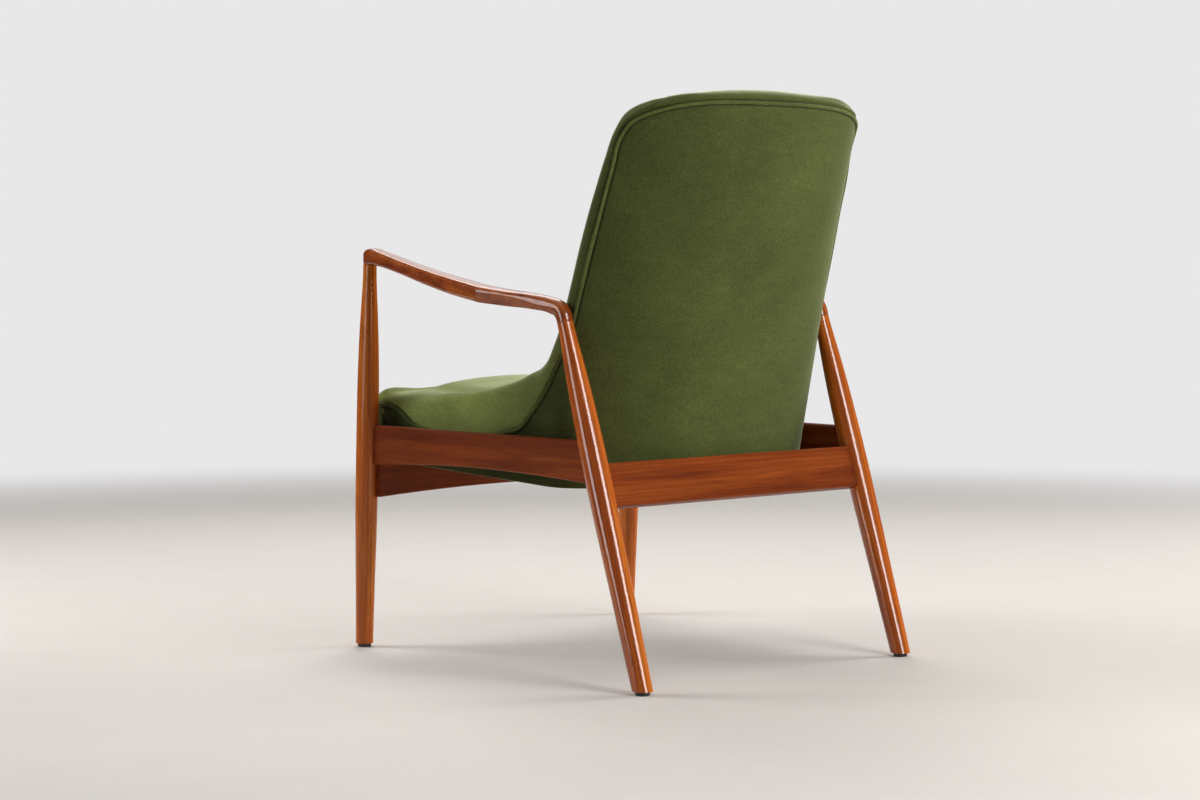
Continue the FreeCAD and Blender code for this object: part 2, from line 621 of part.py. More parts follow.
def grid_normals(rows):
    out = []
    for i in range(len(rows)):
        line = []
        for j in range(len(rows[0])):
            a = vsub(rows[min(i + 1, len(rows) - 1)][j], rows[max(i - 1, 0)][j])
            b_ = vsub(rows[i][min(j + 1, len(rows[0]) - 1)], rows[i][max(j - 1, 0)])
            line.append(unit(cross(b_, a)))
        out.append(line)
    return out


def offset(rows, normals, k):
    return [[vadd(p, n, k) for p, n in zip(r, nr)] for r, nr in zip(rows, normals)]


def surface(rows):
    s_ = Part.BSplineSurface()
    s_.interpolate([[V(*p) for p in r] for r in rows])
    return s_


def edge_curve(points):
    c = Part.BSplineCurve()
    c.interpolate(Points=[V(*p) for p in points])
    return c.toShape()


def thick(rows_a, rows_b):
    """closed solid between two grids of the same size"""
    fa, fb = surface(rows_a).toShape(), surface(rows_b).toShape()
    faces = [fa, fb]

    def iso(s_, which):
        u0, u1, v0, v1 = s_.bounds()
        return {"u0": s_.uIso(u0), "u1": s_.uIso(u1), "v0": s_.vIso(v0), "v1": s_.vIso(v1)}[which].toShape()

    sa, sb = fa.Surface, fb.Surface
    for w in ("u0", "u1", "v0", "v1"):
        faces.append(Part.makeRuledSurface(iso(sa, w), iso(sb, w)))
    sh = Part.Shell(Part.makeCompound(faces).Faces)
    sh = Part.makeShell(faces)
    sh.sewShape()
    so = Part.makeSolid(sh)
    if so.Volume < 0:
        so.reverse()
    fix = so.copy()
    fix.fix(1e-4, 1e-4, 1e-2)
    return fix if fix.isValid() else so


def feature(name, shape):
    o = doc.addObject("Part::Feature", name + "_body")
    o.Shape = shape
    o.Placement = FreeCAD.Placement()
    return o


IN = full_rows()
NR = grid_normals(IN)
# the normals point at the sitter: out of the seat's top and out of the back's front
mid = NR[7][len(NR[7]) // 2]
if mid[2] < 0:
    NR = [[[-c for c in n] for n in r] for r in NR]

# inner cover: velvet, its outer face on the grid, its edges stopped beside the piping
gap_edge = D["piping_radius"] + 0.4


def stop_at_piping(rows):
    """pull the four borders in along the surface, so that the cover ends beside the piping"""
    out = [[list(p) for p in r] for r in rows]
    for r in out:
        for a, b_ in ((0, 1), (-1, -2)):
            r[a] = vadd(r[a], unit(vsub(r[b_], r[a])), gap_edge)
    for j in range(len(out[0])):
        for a, b_ in ((0, 1), (-1, -2)):
            out[a][j] = vadd(out[a][j], unit(vsub(out[b_][j], out[a][j])), gap_edge)
    return out


INC = stop_at_piping(IN)
inner_cover = feature("inner_cover", thick(INC, offset(INC, NR, -D["cover_thick"])))
node(inner_cover, "inner_cover")


# ---------------------------------------------------------------- seat frame, in its own sloping plane
slope = math.atan(D["seat_slope"])
seat_rot = FreeCAD.Rotation(V(1, 0, 0), math.degrees(slope))
seat_base = V(0, y(D["seat_under_y"]), D["seat_under_z"])


def seat_place(x0, y_row, z_local):
    """a point of the sloping plane over the row's y, lifted square to it"""
    dy = (y_row - seat_base.y) / math.cos(slope)
    return seat_base + seat_rot.multVec(V(x0, dy, z_local))


def under_z(yy):
    return D["seat_under_z"] + D["seat_slope"] * (yy - D["seat_under_y"])


lift = 3.2  # the dust cover and the turned-in velvet lie below the frame
len_side = (D["seat_rear_y"] - D["seat_front_y"]) / math.cos(slope)
left_rail = doc.addObject("Part::Box", "seat_frame_left_box")
left_rail.setExpression("Length", "Dims.seat_rail_wide")
left_rail.Width = len_side
left_rail.setExpression("Height", "Dims.seat_rail_high")
left_rail.Placement = FreeCAD.Placement(seat_place(D["seat_rail_face"] - D["seat_rail_wide"], y(D["seat_front_y"]), lift), seat_rot)
inner_w = 2 * (D["seat_rail_face"] - D["seat_rail_wide"])
front_seat = doc.addObject("Part::Box", "seat_frame_front_box")
front_seat.Length = inner_w
front_seat.setExpression("Width", "Dims.seat_front_wide")
front_seat.setExpression("Height", "Dims.seat_rail_high")
front_seat.Placement = FreeCAD.Placement(seat_place(-inner_w / 2, y(D["seat_front_y"]), lift), seat_rot)
doc.recompute()

# rear rail of the seat frame: sawn to the curve of the back
zr = under_z(-190.0) + lift
rise = SB["lean"] + 2 * SB["curl"] * (zr + 16 - 700)


def sawn(off):
    xs = [-inner_w / 2 + inner_w * i / 12.0 for i in range(13)]
    return [[x, y(shell_y(x, zr) - D["cover_thick"] - D["ply_thick"] - 2.2 - off), zr] for x in xs]


ra, rb = sawn(0.0), sawn(30.0)
wire = Part.Wire([edge_curve(ra), Part.makeLine(V(*ra[-1]), V(*rb[-1])), edge_curve(rb[::-1]), Part.makeLine(V(*rb[0]), V(*ra[0]))])
rear_seat = feature("seat_frame_rear_sawn", Part.Face(wire).extrude(V(0, rise * D["seat_rail_high"], D["seat_rail_high"])))

# ---------------------------------------------------------------- plywood back shell
PZ = [318.0, 370.0, 430.0, 500.0, 570.0, 640.0, 710.0, 770.0, 815.0, 840.0, 852.0]


def ply_half(z):
    w = SB["half"] + 0.053 * (SB["z0"] - min(z, SB["z0"]))
    if z < 470:
        w = min(w, 262.0) - (470 - z) * 0.06
    q = max(0.0, (z - SB["z0"]) / SB["high"])
    return (w if q == 0 else SB["half"] * (1 - q ** SB["n"]) ** (1 / SB["n"])) - 15.0


def ply_rows(off, top=852.0):
    rows = []
    for z in PZ:
        w = ply_half(z)
        rows.append([[w * (i / 8.0 - 1.0), y(shell_y(w * (i / 8.0 - 1.0), z) - off), z] for i in range(17)])
    return rows


front_face = D["cover_thick"] + 0.5
back_shell = feature("back_shell_moulded", thick(ply_rows(front_face), ply_rows(front_face + D["ply_thick"])))

# ---------------------------------------------------------------- webbing on the seat frame
web_z = lift + D["seat_rail_high"] + 0.1
long_straps, cross_straps = [], []
y_front, y_rear = D["seat_front_y"] + 12.0, D["seat_rear_y"] + 2.0
for i, x in enumerate((-176.0, -88.0, 0.0, 88.0, 176.0)):
    o = doc.addObject("Part::Box", "strap_long_%d" % i)
    o.setExpression("Length", "Dims.strap_wide")
    rear_y = min(y_rear + 12.0, shell_y(x, zr) - 30.0)
    o.Width = (rear_y - y_front)
    o.setExpression("Height", "Dims.strap_thick")
    o.Placement = FreeCAD.Placement(seat_place(x - D["strap_wide"] / 2, y(y_front), web_z), seat_rot)
    long_straps.append(o)
for i, yy in enumerate((-560.0, -470.0, -380.0, -290.0)):
    o = doc.addObject("Part::Box", "strap_cross_%d" % i)
    o.Length = 2 * (D["seat_rail_face"] - 3.0)
    o.setExpression("Width", "Dims.strap_wide")
    o.setExpression("Height", "Dims.strap_thick")
    o.Placement = FreeCAD.Placement(seat_place(-(D["seat_rail_face"] - 3.0), y(yy), web_z + D["strap_thick"] + 0.1), seat_rot)
    cross_straps.append(o)
node(compound("seat_webbing_long_group", long_straps), "seat_webbing_long")
node(compound("seat_webbing_cross_group", cross_straps), "seat_webbing_cross")


# ---------------------------------------------------------------- foams
def patch(rows, i0, i1, j0, j1):
    return [r[j0:j1] for r in rows[i0:i1]]


NC = len(IN[0])
foam_top = offset(IN, NR, -(D["cover_thick"] + 0.8))
seat_patch = patch(foam_top, 3, 11, 2, NC - 2)
floor_off = web_z + 2 * D["strap_thick"] + 1.0


def seat_floor(p):
    yy = p[1] - SH
    return D["seat_under_z"] + D["seat_slope"] * (yy - D["seat_under_y"]) + floor_off


seat_bottom = [[[p[0], p[1], seat_floor(p)] for p in r] for r in seat_patch]
seat_foam = feature("seat_foam", thick(seat_patch, seat_bottom))
node(seat_foam, "seat_foam")
back_patch = patch(foam_top, 11, 20, 3, NC - 3)


def on_ply(p):
    lim = ply_half(p[2]) - 1.0
    x = max(-lim, min(lim, p[0]))
    return [x, y(shell_y(x, p[2]) - front_face - D["ply_thick"] - 0.6), p[2]]


back_foam = feature("back_foam", thick(back_patch, [[on_ply(p) for p in r] for r in back_patch]))
node(back_foam, "back_foam")

# ---------------------------------------------------------------- outer cover
UZ = [284.0, 320.0, 350.0, 380.0, 430.0, 480.0, 540.0, 620.0, 700.0, 780.0, 830.0, 872.0]


def side_x(z):
    """half-width of the shell's side at a height; the lower part stands between the side rails"""
    pts_ = [(280, 255.0), (350, 258.0), (362, 259.0), (400, 264.0), (470, 266.0), (540, 264.5), (620, 260.5), (880, 250.5)]
    for (a, xa_), (b_, xb_) in zip(pts_, pts_[1:]):
        if z <= b_:
            return xa_ + (xb_ - xa_) * (z - a) / float(b_ - a)
    return pts_[-1][1]


def u_line(z, off):
    """plan line of the outer cover at a height, from the left front round the back to the right front"""
    X = side_x(z) - off
    ys = shell_y(240.0, z) - off
    half = [(X, -646.0), (X, -560.0), (X, -460.0), (X, -380.0), (X, -310.0), (X, min(ys - 60.0, -262.0 + (z - 289) * 0.12)),
            (X - 0.6, ys - 26.0), (X - 6.0, shell_y(X - 6.0, z) - off * 1.2 - 3.0)]
    for x in (246.0, 228.0, 195.0, 150.0, 100.0, 50.0):
        half.append((x - off * 0.35, shell_y(x, z) - off))
    half.append((0.0, shell_y(0.0, z) - off))
    pts_ = [[a, y(b_), z] for a, b_ in half]
    return pts_ + [[-a, b_, c] for a, b_, c in pts_[:-1]][::-1]


wrap = thick([u_line(z, 0.0) for z in UZ], [u_line(z, D["cover_thick"]) for z in UZ])
# what lies behind and under the seam, seen from the side
side_seam = [(-640.0, 393.2), (-630.0, 393.8), (-617.0, 392.3), (-604.0, 387.9), (-588.0, 378.1), (-574.0, 369.4),
             (-556.0, 362.5), (-530.0, 356.5), (-480.0, 352.0), (-420.0, 351.0), (-365.0, 355.5), (-330.0, 363.6),
             (-298.0, 371.0), (-265.0, 396.0), (-234.0, 428.0), (-208.0, 464.0), (-185.5, 500.0), (-174.5, 520.0),
             (-159.0, 570.0), (-137.0, 640.0), (-116.0, 710.0), (-96.0, 770.0), (-92.0, 800.0)]
low = []
for i, (a, b_) in enumerate(side_seam):
    pa, pb = side_seam[max(i - 1, 0)], side_seam[min(i + 1, len(side_seam) - 1)]
    ty, tz = pb[0] - pa[0], pb[1] - pa[1]
    tl = math.hypot(ty, tz)
    low.append((a + gap_edge * tz / tl, b_ - gap_edge * ty / tl))
curve = edge_curve([[0.0, y(a), b_] for a, b_ in low])
p0, p1 = curve.Vertexes[0].Point, curve.Vertexes[-1].Point
corners = [p1, V(0, p1.y, 900), V(0, y(80.0), 900), V(0, y(80.0), 287.8), V(0, y(-236.0), 287.8), V(0, p0.y, 306.2), p0]
keep_wire = Part.Wire([curve] + [Part.makeLine(a, b_) for a, b_ in zip(corners, corners[1:])])
keep = Part.Face(keep_wire)
keep.translate(V(-400, 0, 0))
keep_side = keep.extrude(V(800, 0, 0))
# the outline of the back, seen from behind
outline = [[280.0, 0.0, 250.0], [280.0, 0.0, 700.0]]
arc_pts = []
for deg in range(0, 91, 10):
    x, yy, z = top_edge(deg)
    arc_pts.append([x - gap_edge * math.cos(math.radians(deg)), 0.0, z - gap_edge * math.sin(math.radians(deg))])
arc_all = arc_pts + [[-a, b_, c] for a, b_, c in arc_pts[:-1]][::-1]
ow = Part.Wire([edge_curve(arc_all),
                Part.makeLine(V(*arc_all[-1]), V(-290, 0, 600)), Part.makeLine(V(-290, 0, 600), V(-290, 0, 250)),
                Part.makeLine(V(-290, 0, 250), V(290, 0, 250)), Part.makeLine(V(290, 0, 250), V(290, 0, 600)),
                Part.makeLine(V(290, 0, 600), V(*arc_all[0]))])
of_ = Part.Face(ow)
of_.translate(V(0, -500, 0))
keep_front = of_.extrude(V(0, 1100, 0))
# the piping follows the seam; the covers stop beside it
seam_left = [[r[2][0], y(r[2][1]), r[2][2]] for r in ROWS]
top_mid = [[SB["half"] * math.cos(math.radians(a)) ** (2 / SB["n"]), 0, SB["z0"] + SB["high"] * math.sin(math.radians(a)) ** (2 / SB["n"])]
           for a in (52, 60, 68, 76, 83)]
top_mid = [[x, y(shell_y(x, z)), z] for x, _, z in top_mid]
front_mid = [[x, y(yy), z] for x, yy, z in ((218.0, -663.0, 389.8), (170.0, -669.5, 387.8), (110.0, -673.5, 386.7), (50.0, -675.6, 386.1))]
half_loop = [[0.0, y(-676.0), 386.0]] + front_mid[::-1] + seam_left + top_mid + \
    [[0.0, y(shell_y(0.0, SB["z0"] + SB["high"])), SB["z0"] + SB["high"]]]
lc = Part.BSplineCurve()
lc.interpolate(Points=[V(*p) for p in half_loop], InitialTangent=V(60, 0, 0), FinalTangent=V(-60, 0, 0))


def tube(curve_, radius):
    """round tube along the seam: the left half is swept, the right half mirrored, and the two are one ring"""
    e = curve_.toShape()
    start = e.valueAt(e.FirstParameter)
    c = Part.Wire([Part.makeCircle(radius, start, e.tangentAt(e.FirstParameter))])
    half = Part.Wire([e]).makePipeShell([c], True, False)
    other = half.mirror(V(0, 0, 0), V(1, 0, 0))
    return half.fuse(other).removeSplitter()


piping = feature("piping", tube(lc, D["piping_radius"]))
node(piping, "piping")
oc = wrap.common(keep_side).common(keep_front)
parts_ = sorted(oc.Solids, key=lambda q: q.Volume)
outer_cover = feature("outer_cover", parts_[-1])
node(outer_cover, "outer_cover")

# ---------------------------------------------------------------- front border under the seat's front seam
fb_top = [(256.0, -642.0, 389.0), (248.0, -652.0, 387.8), (218.0, -663.0, 385.6), (170.0, -669.5, 383.6), (110.0, -673.5, 382.4), (50.0, -675.6, 381.9), (0.0, -676.0, 381.8)]
fb_low = [(254.5, -640.0, 309.0), (246.0, -648.0, 309.0), (218.0, -656.0, 309.0), (170.0, -661.0, 309.0), (110.0, -664.0, 309.0), (50.0, -665.5, 309.0), (0.0, -666.0, 309.0)]


def border(off):
    rows = []
    for q in (0.0, 0.33, 0.66, 1.0):
        half = [[a[0] + (b_[0] - a[0]) * q - off * (a[0] / 256.0) ** 4, y(a[1] + (b_[1] - a[1]) * q + off - 1.5 * math.sin(math.pi * q)),
                 a[2] + (b_[2] - a[2]) * q] for a, b_ in zip(fb_low, fb_top)]
        rows.append(half + [[-a, b_, c] for a, b_, c in half[:-1]][::-1])
    return rows


front_border = feature("front_border", thick(border(0.0), border(D["cover_thick"])))
node(front_border, "front_border")

# ---------------------------------------------------------------- dust cover
dust_pts = []
for x, yy in ((0.0, -660.0), (120.0, -658.0), (200.0, -652.0), (238.0, -643.0), (250.0, -628.0), (251.0, -560.0), (251.0, -460.0), (251.0, -340.0),
              (250.0, -262.0), (242.0, -228.0), (222.0, -192.0), (180.0, -168.0), (120.0, -152.0), (60.0, -144.0)):
    dust_pts.append((x, yy))
dust_line = dust_pts + [(0.0, -141.5)] + [(-a, b_) for a, b_ in dust_pts[1:]][::-1]
dc = Part.BSplineCurve()
dc.interpolate(Points=[V(a, y(b_), 100) for a, b_ in dust_line], PeriodicFlag=True)
dust_prism = Part.Face(Part.Wire([dc.toShape()])).extrude(V(0, 0, 500))
slab = Part.makeBox(700, 900, D["dust_thick"])
slab.Placement = FreeCAD.Placement(seat_base + seat_rot.multVec(V(-350, -450, 1.2)), seat_rot)
dust_cover = feature("dust_cover_plain", slab.common(dust_prism))

# ---------------------------------------------------------------- brackets between the frame and the shell
def bracket(name, profile, x):
    b = body(name + "_plate")
    s_ = sketch(b, name + "_profile", "YZ_Plane")
    polygon(s_, profile)
    p_ = pad(b, s_, D["bracket_wide"], "Dims.bracket_wide", name=name + "_pad")
    doc.recompute()
    b.Placement = FreeCAD.Placement(V(x - D["bracket_wide"] / 2 - p_.Shape.BoundBox.XMin, 0, 0), FreeCAD.Rotation())
    return b


bt = D["bracket_thick"]
yi = y(D["front_rail_inner"]) + 0.05
zf = under_z(-575.0) - 0.4
front_prof = [(yi, 266.0), (yi + bt, 266.0), (yi + bt, zf - bt), (y(-575.0), zf - bt), (y(-575.0), zf), (yi, zf)]


def rear_inner(z):
    return y(D["rear_rake"] * z + D["rear_rail_face"] - D["rear_rail_thick"] / c18) - 0.1


zb = under_z(-120.0) - 0.6
tk = bt / c18
rear_prof = [(rear_inner(318.0), 318.0), (rear_inner(zb - bt), zb - bt), (y(-182.0), zb - bt), (y(-182.0), zb),
             (rear_inner(zb) - tk, zb), (rear_inner(318.0) - tk, 318.0)]
brackets = {}
for word, prof, xpos in (("front", front_prof, D["bracket_front_x"]), ("rear", rear_prof, D["bracket_rear_x"])):
    for side, sw in ((1, "left"), (-1, "right")):
        brackets[(word, sw)] = bracket("seat_bracket_%s_%s" % (word, sw), prof, side * xpos)

# screws: two through each leg of each bracket
screws, holes = [], []


def screw(name, head_at, direction, length, head=True):
    d = V(*direction)
    d.normalize()
    c = doc.addObject("Part::Cylinder", name)
    c.setExpression("Radius", "Dims.screw_radius")
    c.Height = length
    c.Placement = FreeCAD.Placement(head_at, FreeCAD.Rotation(V(0, 0, 1), d))
    hd = doc.addObject("Part::Cone", name + "_head")
    hd.setExpression("Radius1", "Dims.screw_head_radius - 1.2")
    hd.setExpression("Radius2", "Dims.screw_head_radius")
    hd.setExpression("Height", "Dims.screw_head_high")
    hd.Placement = FreeCAD.Placement(head_at, FreeCAD.Rotation(V(0, 0, 1), d * -1))
    hd.setExpression("Radius1", "Dims.screw_head_radius")
    hd.setExpression("Radius2", "Dims.screw_head_radius - 1.2")
    fz = doc.addObject("Part::Fuse", name + "_whole")
    fz.Base = c
    fz.Tool = hd
    screws.append(fz)
    holes.append(c)


for side, sw in ((1, "l"), (-1, "r")):
    for j, dx in enumerate((-6.5, 6.5)):
        x = side * D["bracket_front_x"] + dx
        screw("scr_f_rail_%s%d" % (sw, j), V(x, yi + bt + 0.05, 277.0 + 12.0 * j), (0, -1, 0), 17.0)
        screw("scr_f_seat_%s%d" % (sw, j), V(x, y(-602.0 + 12.0 * j), zf - bt - 0.05), (0, 0, 1), 24.0)
        x = side * D["bracket_rear_x"] + dx
        zz = 296.0 + 12.0 * j
        screw("scr_r_rail_%s%d" % (sw, j), V(x, rear_inner(zz) - tk - 0.05, zz), (0, math.cos(rake), math.sin(rake)), 17.0)
        screw("scr_r_seat_%s%d" % (sw, j), V(x, y(-168.0 - 6.0 * j), zb - bt - 0.05), (0, 0, 1), 24.0)
bracket_screws = compound("bracket_screw_group", screws)
doc.recompute()
hole_group = compound("bracket_screw_holes", holes)

# screws from the plywood into the rear rail of the seat frame
ply_screws, ply_holes = [], []
for i, x in enumerate((-190.0, -70.0, 70.0, 190.0)):
    zz = zr + 15.0 + 6.0
    at = V(x, y(shell_y(x, zz) - front_face - 0.4), zz)
    c = doc.addObject("Part::Cylinder", "ply_screw_%d" % i)
    c.setExpression("Radius", "Dims.screw_radius")
    c.Height = 34.0
    d = V(0, -1, rise)
    d.normalize()
    c.Placement = FreeCAD.Placement(at, FreeCAD.Rotation(V(0, 0, 1), d))
    hd = doc.addObject("Part::Cone", "ply_screw_head_%d" % i)
    hd.setExpression("Radius1", "Dims.screw_head_radius")
    hd.Radius2 = 2.0
    hd.Height = 2.6
    hd.Placement = FreeCAD.Placement(at, FreeCAD.Rotation(V(0, 0, 1), d))
    fz = doc.addObject("Part::Fuse", "ply_screw_whole_%d" % i)
    fz.Base = c
    fz.Tool = hd
    ply_screws.append(fz)
shell_screws = compound("shell_screw_group", ply_screws)
doc.recompute()

# dowels of the seat frame's corners
sd = []
for side, sw in ((1, "l"), (-1, "r")):
    for j, zz in enumerate((10.0, 22.0)):
        base = seat_place(side * (D["seat_rail_face"] - 8.0), y(D["seat_front_y"] + 27.0), lift + zz)
        c = doc.addObject("Part::Cylinder", "seat_dowel_f_%s%d" % (sw, j))
        c.setExpression("Radius", "Dims.dowel_radius")
        c.Height = 34.0
        c.Placement = FreeCAD.Placement(base, FreeCAD.Rotation(V(0, 0, 1), V(-side, 0, 0)))
        sd.append(c)
    yr_ = shell_y(D["seat_rail_face"] - D["seat_rail_wide"], zr) - 12.0 - 2.2 - 15.0
    for j, zz in enumerate((9.0, 23.0)):
        c = doc.addObject("Part::Cylinder", "seat_dowel_r_%s%d" % (sw, j))
        c.setExpression("Radius", "Dims.dowel_radius")
        c.Height = 34.0
        c.Placement = FreeCAD.Placement(V(side * (D["seat_rail_face"] - 8.0), y(yr_ - 3.0 + rise * zz), zr + zz), FreeCAD.Rotation(V(0, 0, 1), V(-side, 0, 0)))
        sd.append(c)
seat_dowels = compound("seat_dowel_group", sd)
doc.recompute()

# ---------------------------------------------------------------- final cuts: every piece gives way to what is driven through it


def chain(base, tools, name, keep_label=None):
    cur = base
    for i, t_ in enumerate(tools):
        cur = cut(cur, t_, "%s_cut%d" % (name, i))
        cur.recompute()
    return node(cur, keep_label or name)


rl = chain(rear_body, [floor_box, rail_dowels, glide_nails, arm_dowels], "rear_leg_left")
mirror(rl, "rear_leg_right")
fl = chain(front_body, [floor_box, rail_dowels, glide_nails, arm_dowels, arm_blank], "front_leg_left")
mirror(fl, "front_leg_right")
al = chain(arm_blank, [arm_dowels], "armrest_left")
mirror(al, "armrest_right")
fr_ = chain(b_front, [front_body, doc.getObject("front_leg_right_mirror"), rail_dowels, hole_group], "front_rail")
sl = chain(b_side, [front_body, rear_body, fr_, rail_dowels], "side_rail_left")
mirror(sl, "side_rail_right")
rr_ = chain(b_rear, [rear_body, doc.getObject("rear_leg_right_mirror"), rail_dowels, hole_group], "rear_rail")
node(glide_nails, "glide_nails")
node(rail_dowels, "rail_dowels")
node(arm_dowels, "arm_dowels")

# pieces of the seat give way to their dowels and screws
left_final = chain(left_rail, [seat_dowels], "seat_frame_left")
mirror(left_final, "seat_frame_right")
chain(front_seat, [seat_dowels, hole_group], "seat_frame_front")
chain(rear_seat, [seat_dowels, hole_group, shell_screws], "seat_frame_rear")
chain(back_shell, [shell_screws], "back_shell")
for (word, sw), b in brackets.items():
    chain(b, [hole_group], "seat_bracket_%s_%s" % (word, sw))
chain(dust_cover, [hole_group], "dust_cover")
node(bracket_screws, "bracket_screws")
node(shell_screws, "shell_screws")
node(seat_dowels, "seat_frame_dowels")
doc.recompute()

# ---------------------------------------------------------------- checks, then the files
bad = []
for o in doc.Objects:
    if any(w in ("Invalid", "Error") for w in o.State):
        bad.append("%s (%s): %s" % (o.Name, o.Label, o.State))
seen = set()
for o in NODES:
    if o.Label in seen:
        bad.append("two nodes named " + o.Label)
    seen.add(o.Label)
    sh = o.Shape
    if sh.isNull() or not sh.isValid() or not sh.Solids:
        bad.append("%s: null or not valid (%s)" % (o.Label, sh.ShapeType if not sh.isNull() else "null"))
    else:
        print("%-26s solids %2d  volume %12.1f mm3" % (o.Label, len(sh.Solids), sh.Volume))
if bad:
    raise SystemExit("not written:\n" + "\n".join(bad))
for old in os.listdir("parts"):
    if old.endswith(".step"):
        os.remove(os.path.join("parts", old))
for o in NODES:
    o.Shape.exportStep("parts/%s.step" % o.Label)
whole = FreeCAD.BoundBox()
for o in NODES:
    whole.add(o.Shape.BoundBox)
print("box x %.1f %.1f  y %.1f %.1f  z %.1f %.1f" % (whole.XMin, whole.XMax, whole.YMin, whole.YMax, whole.ZMin, whole.ZMax))
print(len(NODES), "nodes written")
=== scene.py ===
import json
import math

import bpy
import numpy as np
from mathutils import Matrix, Quaternion, Vector

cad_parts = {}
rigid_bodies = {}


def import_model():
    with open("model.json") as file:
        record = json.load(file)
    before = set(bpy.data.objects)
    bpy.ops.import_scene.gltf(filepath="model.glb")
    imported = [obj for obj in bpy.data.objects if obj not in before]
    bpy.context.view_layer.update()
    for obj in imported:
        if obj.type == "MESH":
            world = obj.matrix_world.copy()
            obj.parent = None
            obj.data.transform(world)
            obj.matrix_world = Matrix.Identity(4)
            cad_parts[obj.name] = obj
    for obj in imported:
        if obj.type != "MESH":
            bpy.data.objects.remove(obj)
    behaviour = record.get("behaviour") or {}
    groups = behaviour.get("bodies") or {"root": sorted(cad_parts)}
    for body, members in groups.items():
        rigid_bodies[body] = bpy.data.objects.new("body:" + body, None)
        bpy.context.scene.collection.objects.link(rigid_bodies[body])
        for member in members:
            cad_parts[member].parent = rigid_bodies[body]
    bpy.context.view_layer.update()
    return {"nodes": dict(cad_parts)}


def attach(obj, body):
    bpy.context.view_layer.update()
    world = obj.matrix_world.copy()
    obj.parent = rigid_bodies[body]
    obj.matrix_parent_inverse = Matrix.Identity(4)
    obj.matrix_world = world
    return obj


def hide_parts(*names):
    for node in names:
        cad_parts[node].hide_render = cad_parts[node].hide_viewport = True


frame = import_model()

NODES = frame["nodes"]
SH = 0.3352          # from the rear feet's line to the middle of the depth, as in the CAD
MM = 0.001
scene = bpy.context.scene
for ob in list(bpy.data.objects):
    if ob.type in ("CAMERA", "LIGHT") and ob.name not in NODES:
        bpy.data.objects.remove(ob)


# ---------------------------------------------------------------- small helpers
def link(ob):
    scene.collection.objects.link(ob)
    return ob


def mesh_object(name, verts, faces, smooth=True):
    me = bpy.data.meshes.new(name)
    me.from_pydata([tuple(float(c) for c in v) for v in verts], [], [tuple(int(i) for i in f) for f in faces])
    me.update()
    if smooth:
        me.polygons.foreach_set("use_smooth", [True] * len(me.polygons))
    me.update()
    return link(bpy.data.objects.new(name, me))


def point_value(ob, name, values):
    """a number on each vertex, for the material to read"""
    at = ob.data.attributes.new(name, "FLOAT", "POINT")
    at.data.foreach_set("value", np.ascontiguousarray(values, dtype=np.float32))


def grid_faces(nr, nc, base=0, close_c=False, flip=False):
    out = []
    for i in range(nr - 1):
        for j in range(nc if close_c else nc - 1):
            a = base + i * nc + j
            b = base + i * nc + (j + 1) % nc
            c = base + (i + 1) * nc + (j + 1) % nc
            d = base + (i + 1) * nc + j
            out.append((a, d, c, b) if flip else (a, b, c, d))
    return out


def hermite(P, u, w):
    """smooth curve through the rows of P at parameters u, read at w"""
    P = np.asarray(P, float)
    u = np.asarray(u, float)
    w = np.clip(np.asarray(w, float), u[0], u[-1])
    h = np.diff(u)[:, None]
    s = np.diff(P, axis=0) / h
    m = np.zeros_like(P)
    m[1:-1] = (s[:-1] * h[1:] + s[1:] * h[:-1]) / (h[1:] + h[:-1])
    m[0], m[-1] = s[0], s[-1]
    k = np.clip(np.searchsorted(u, w, side="right") - 1, 0, len(u) - 2)
    hh = h[k]
    t = ((w - u[k]) / hh[:, 0])[:, None]
    return ((2 * t ** 3 - 3 * t ** 2 + 1) * P[k] + (t ** 3 - 2 * t ** 2 + t) * hh * m[k]
            + (-2 * t ** 3 + 3 * t ** 2) * P[k + 1] + (t ** 3 - t ** 2) * hh * m[k + 1])


def arc(P):
    P = np.asarray(P, float)
    return np.concatenate([[0], np.cumsum(np.linalg.norm(np.diff(P, axis=0), axis=1))])


def even(P, n):
    """n points an even distance apart along a polyline, smoothly"""
    u = arc(P)
    return hermite(P, u, np.linspace(0, u[-1], n))


def grid_normals(G, close_c=False):
    du = np.gradient(G, axis=0)
    if close_c:
        dv = (np.roll(G, -1, axis=1) - np.roll(G, 1, axis=1)) / 2
    else:
        dv = np.gradient(G, axis=1)
    n = np.cross(dv, du)
    L = np.linalg.norm(n, axis=2, keepdims=True)
    return n / np.maximum(L, 1e-12)


def lattice_noise(P, scale, seed):
    """smooth noise from -1 to 1 at points P, in cells of the given size"""
    Q = np.asarray(P, float) / scale + seed * 17.31
    I = np.floor(Q).astype(np.int64)
    F = Q - I
    F = F * F * (3 - 2 * F)

    def h(x, y_, z):
        n = (x * 374761393 + y_ * 668265263 + z * 2147483647 + seed * 144665) & 0xFFFFFFFF
        n = ((n ^ (n >> 13)) * 1274126177) & 0xFFFFFFFF
        return ((n ^ (n >> 16)) & 0xFFFF) / 32767.5 - 1.0

    out = np.zeros(Q.shape[:-1])
    for a in (0, 1):
        for b in (0, 1):
            for c in (0, 1):
                wgt = ((F[..., 0] if a else 1 - F[..., 0]) * (F[..., 1] if b else 1 - F[..., 1])
                       * (F[..., 2] if c else 1 - F[..., 2]))
                out += wgt * h(I[..., 0] + a, I[..., 1] + b, I[..., 2] + c)
    return out


def smoothstep(a, b, x):
    t = np.clip((x - a) / (b - a), 0, 1)
    return t * t * (3 - 2 * t)


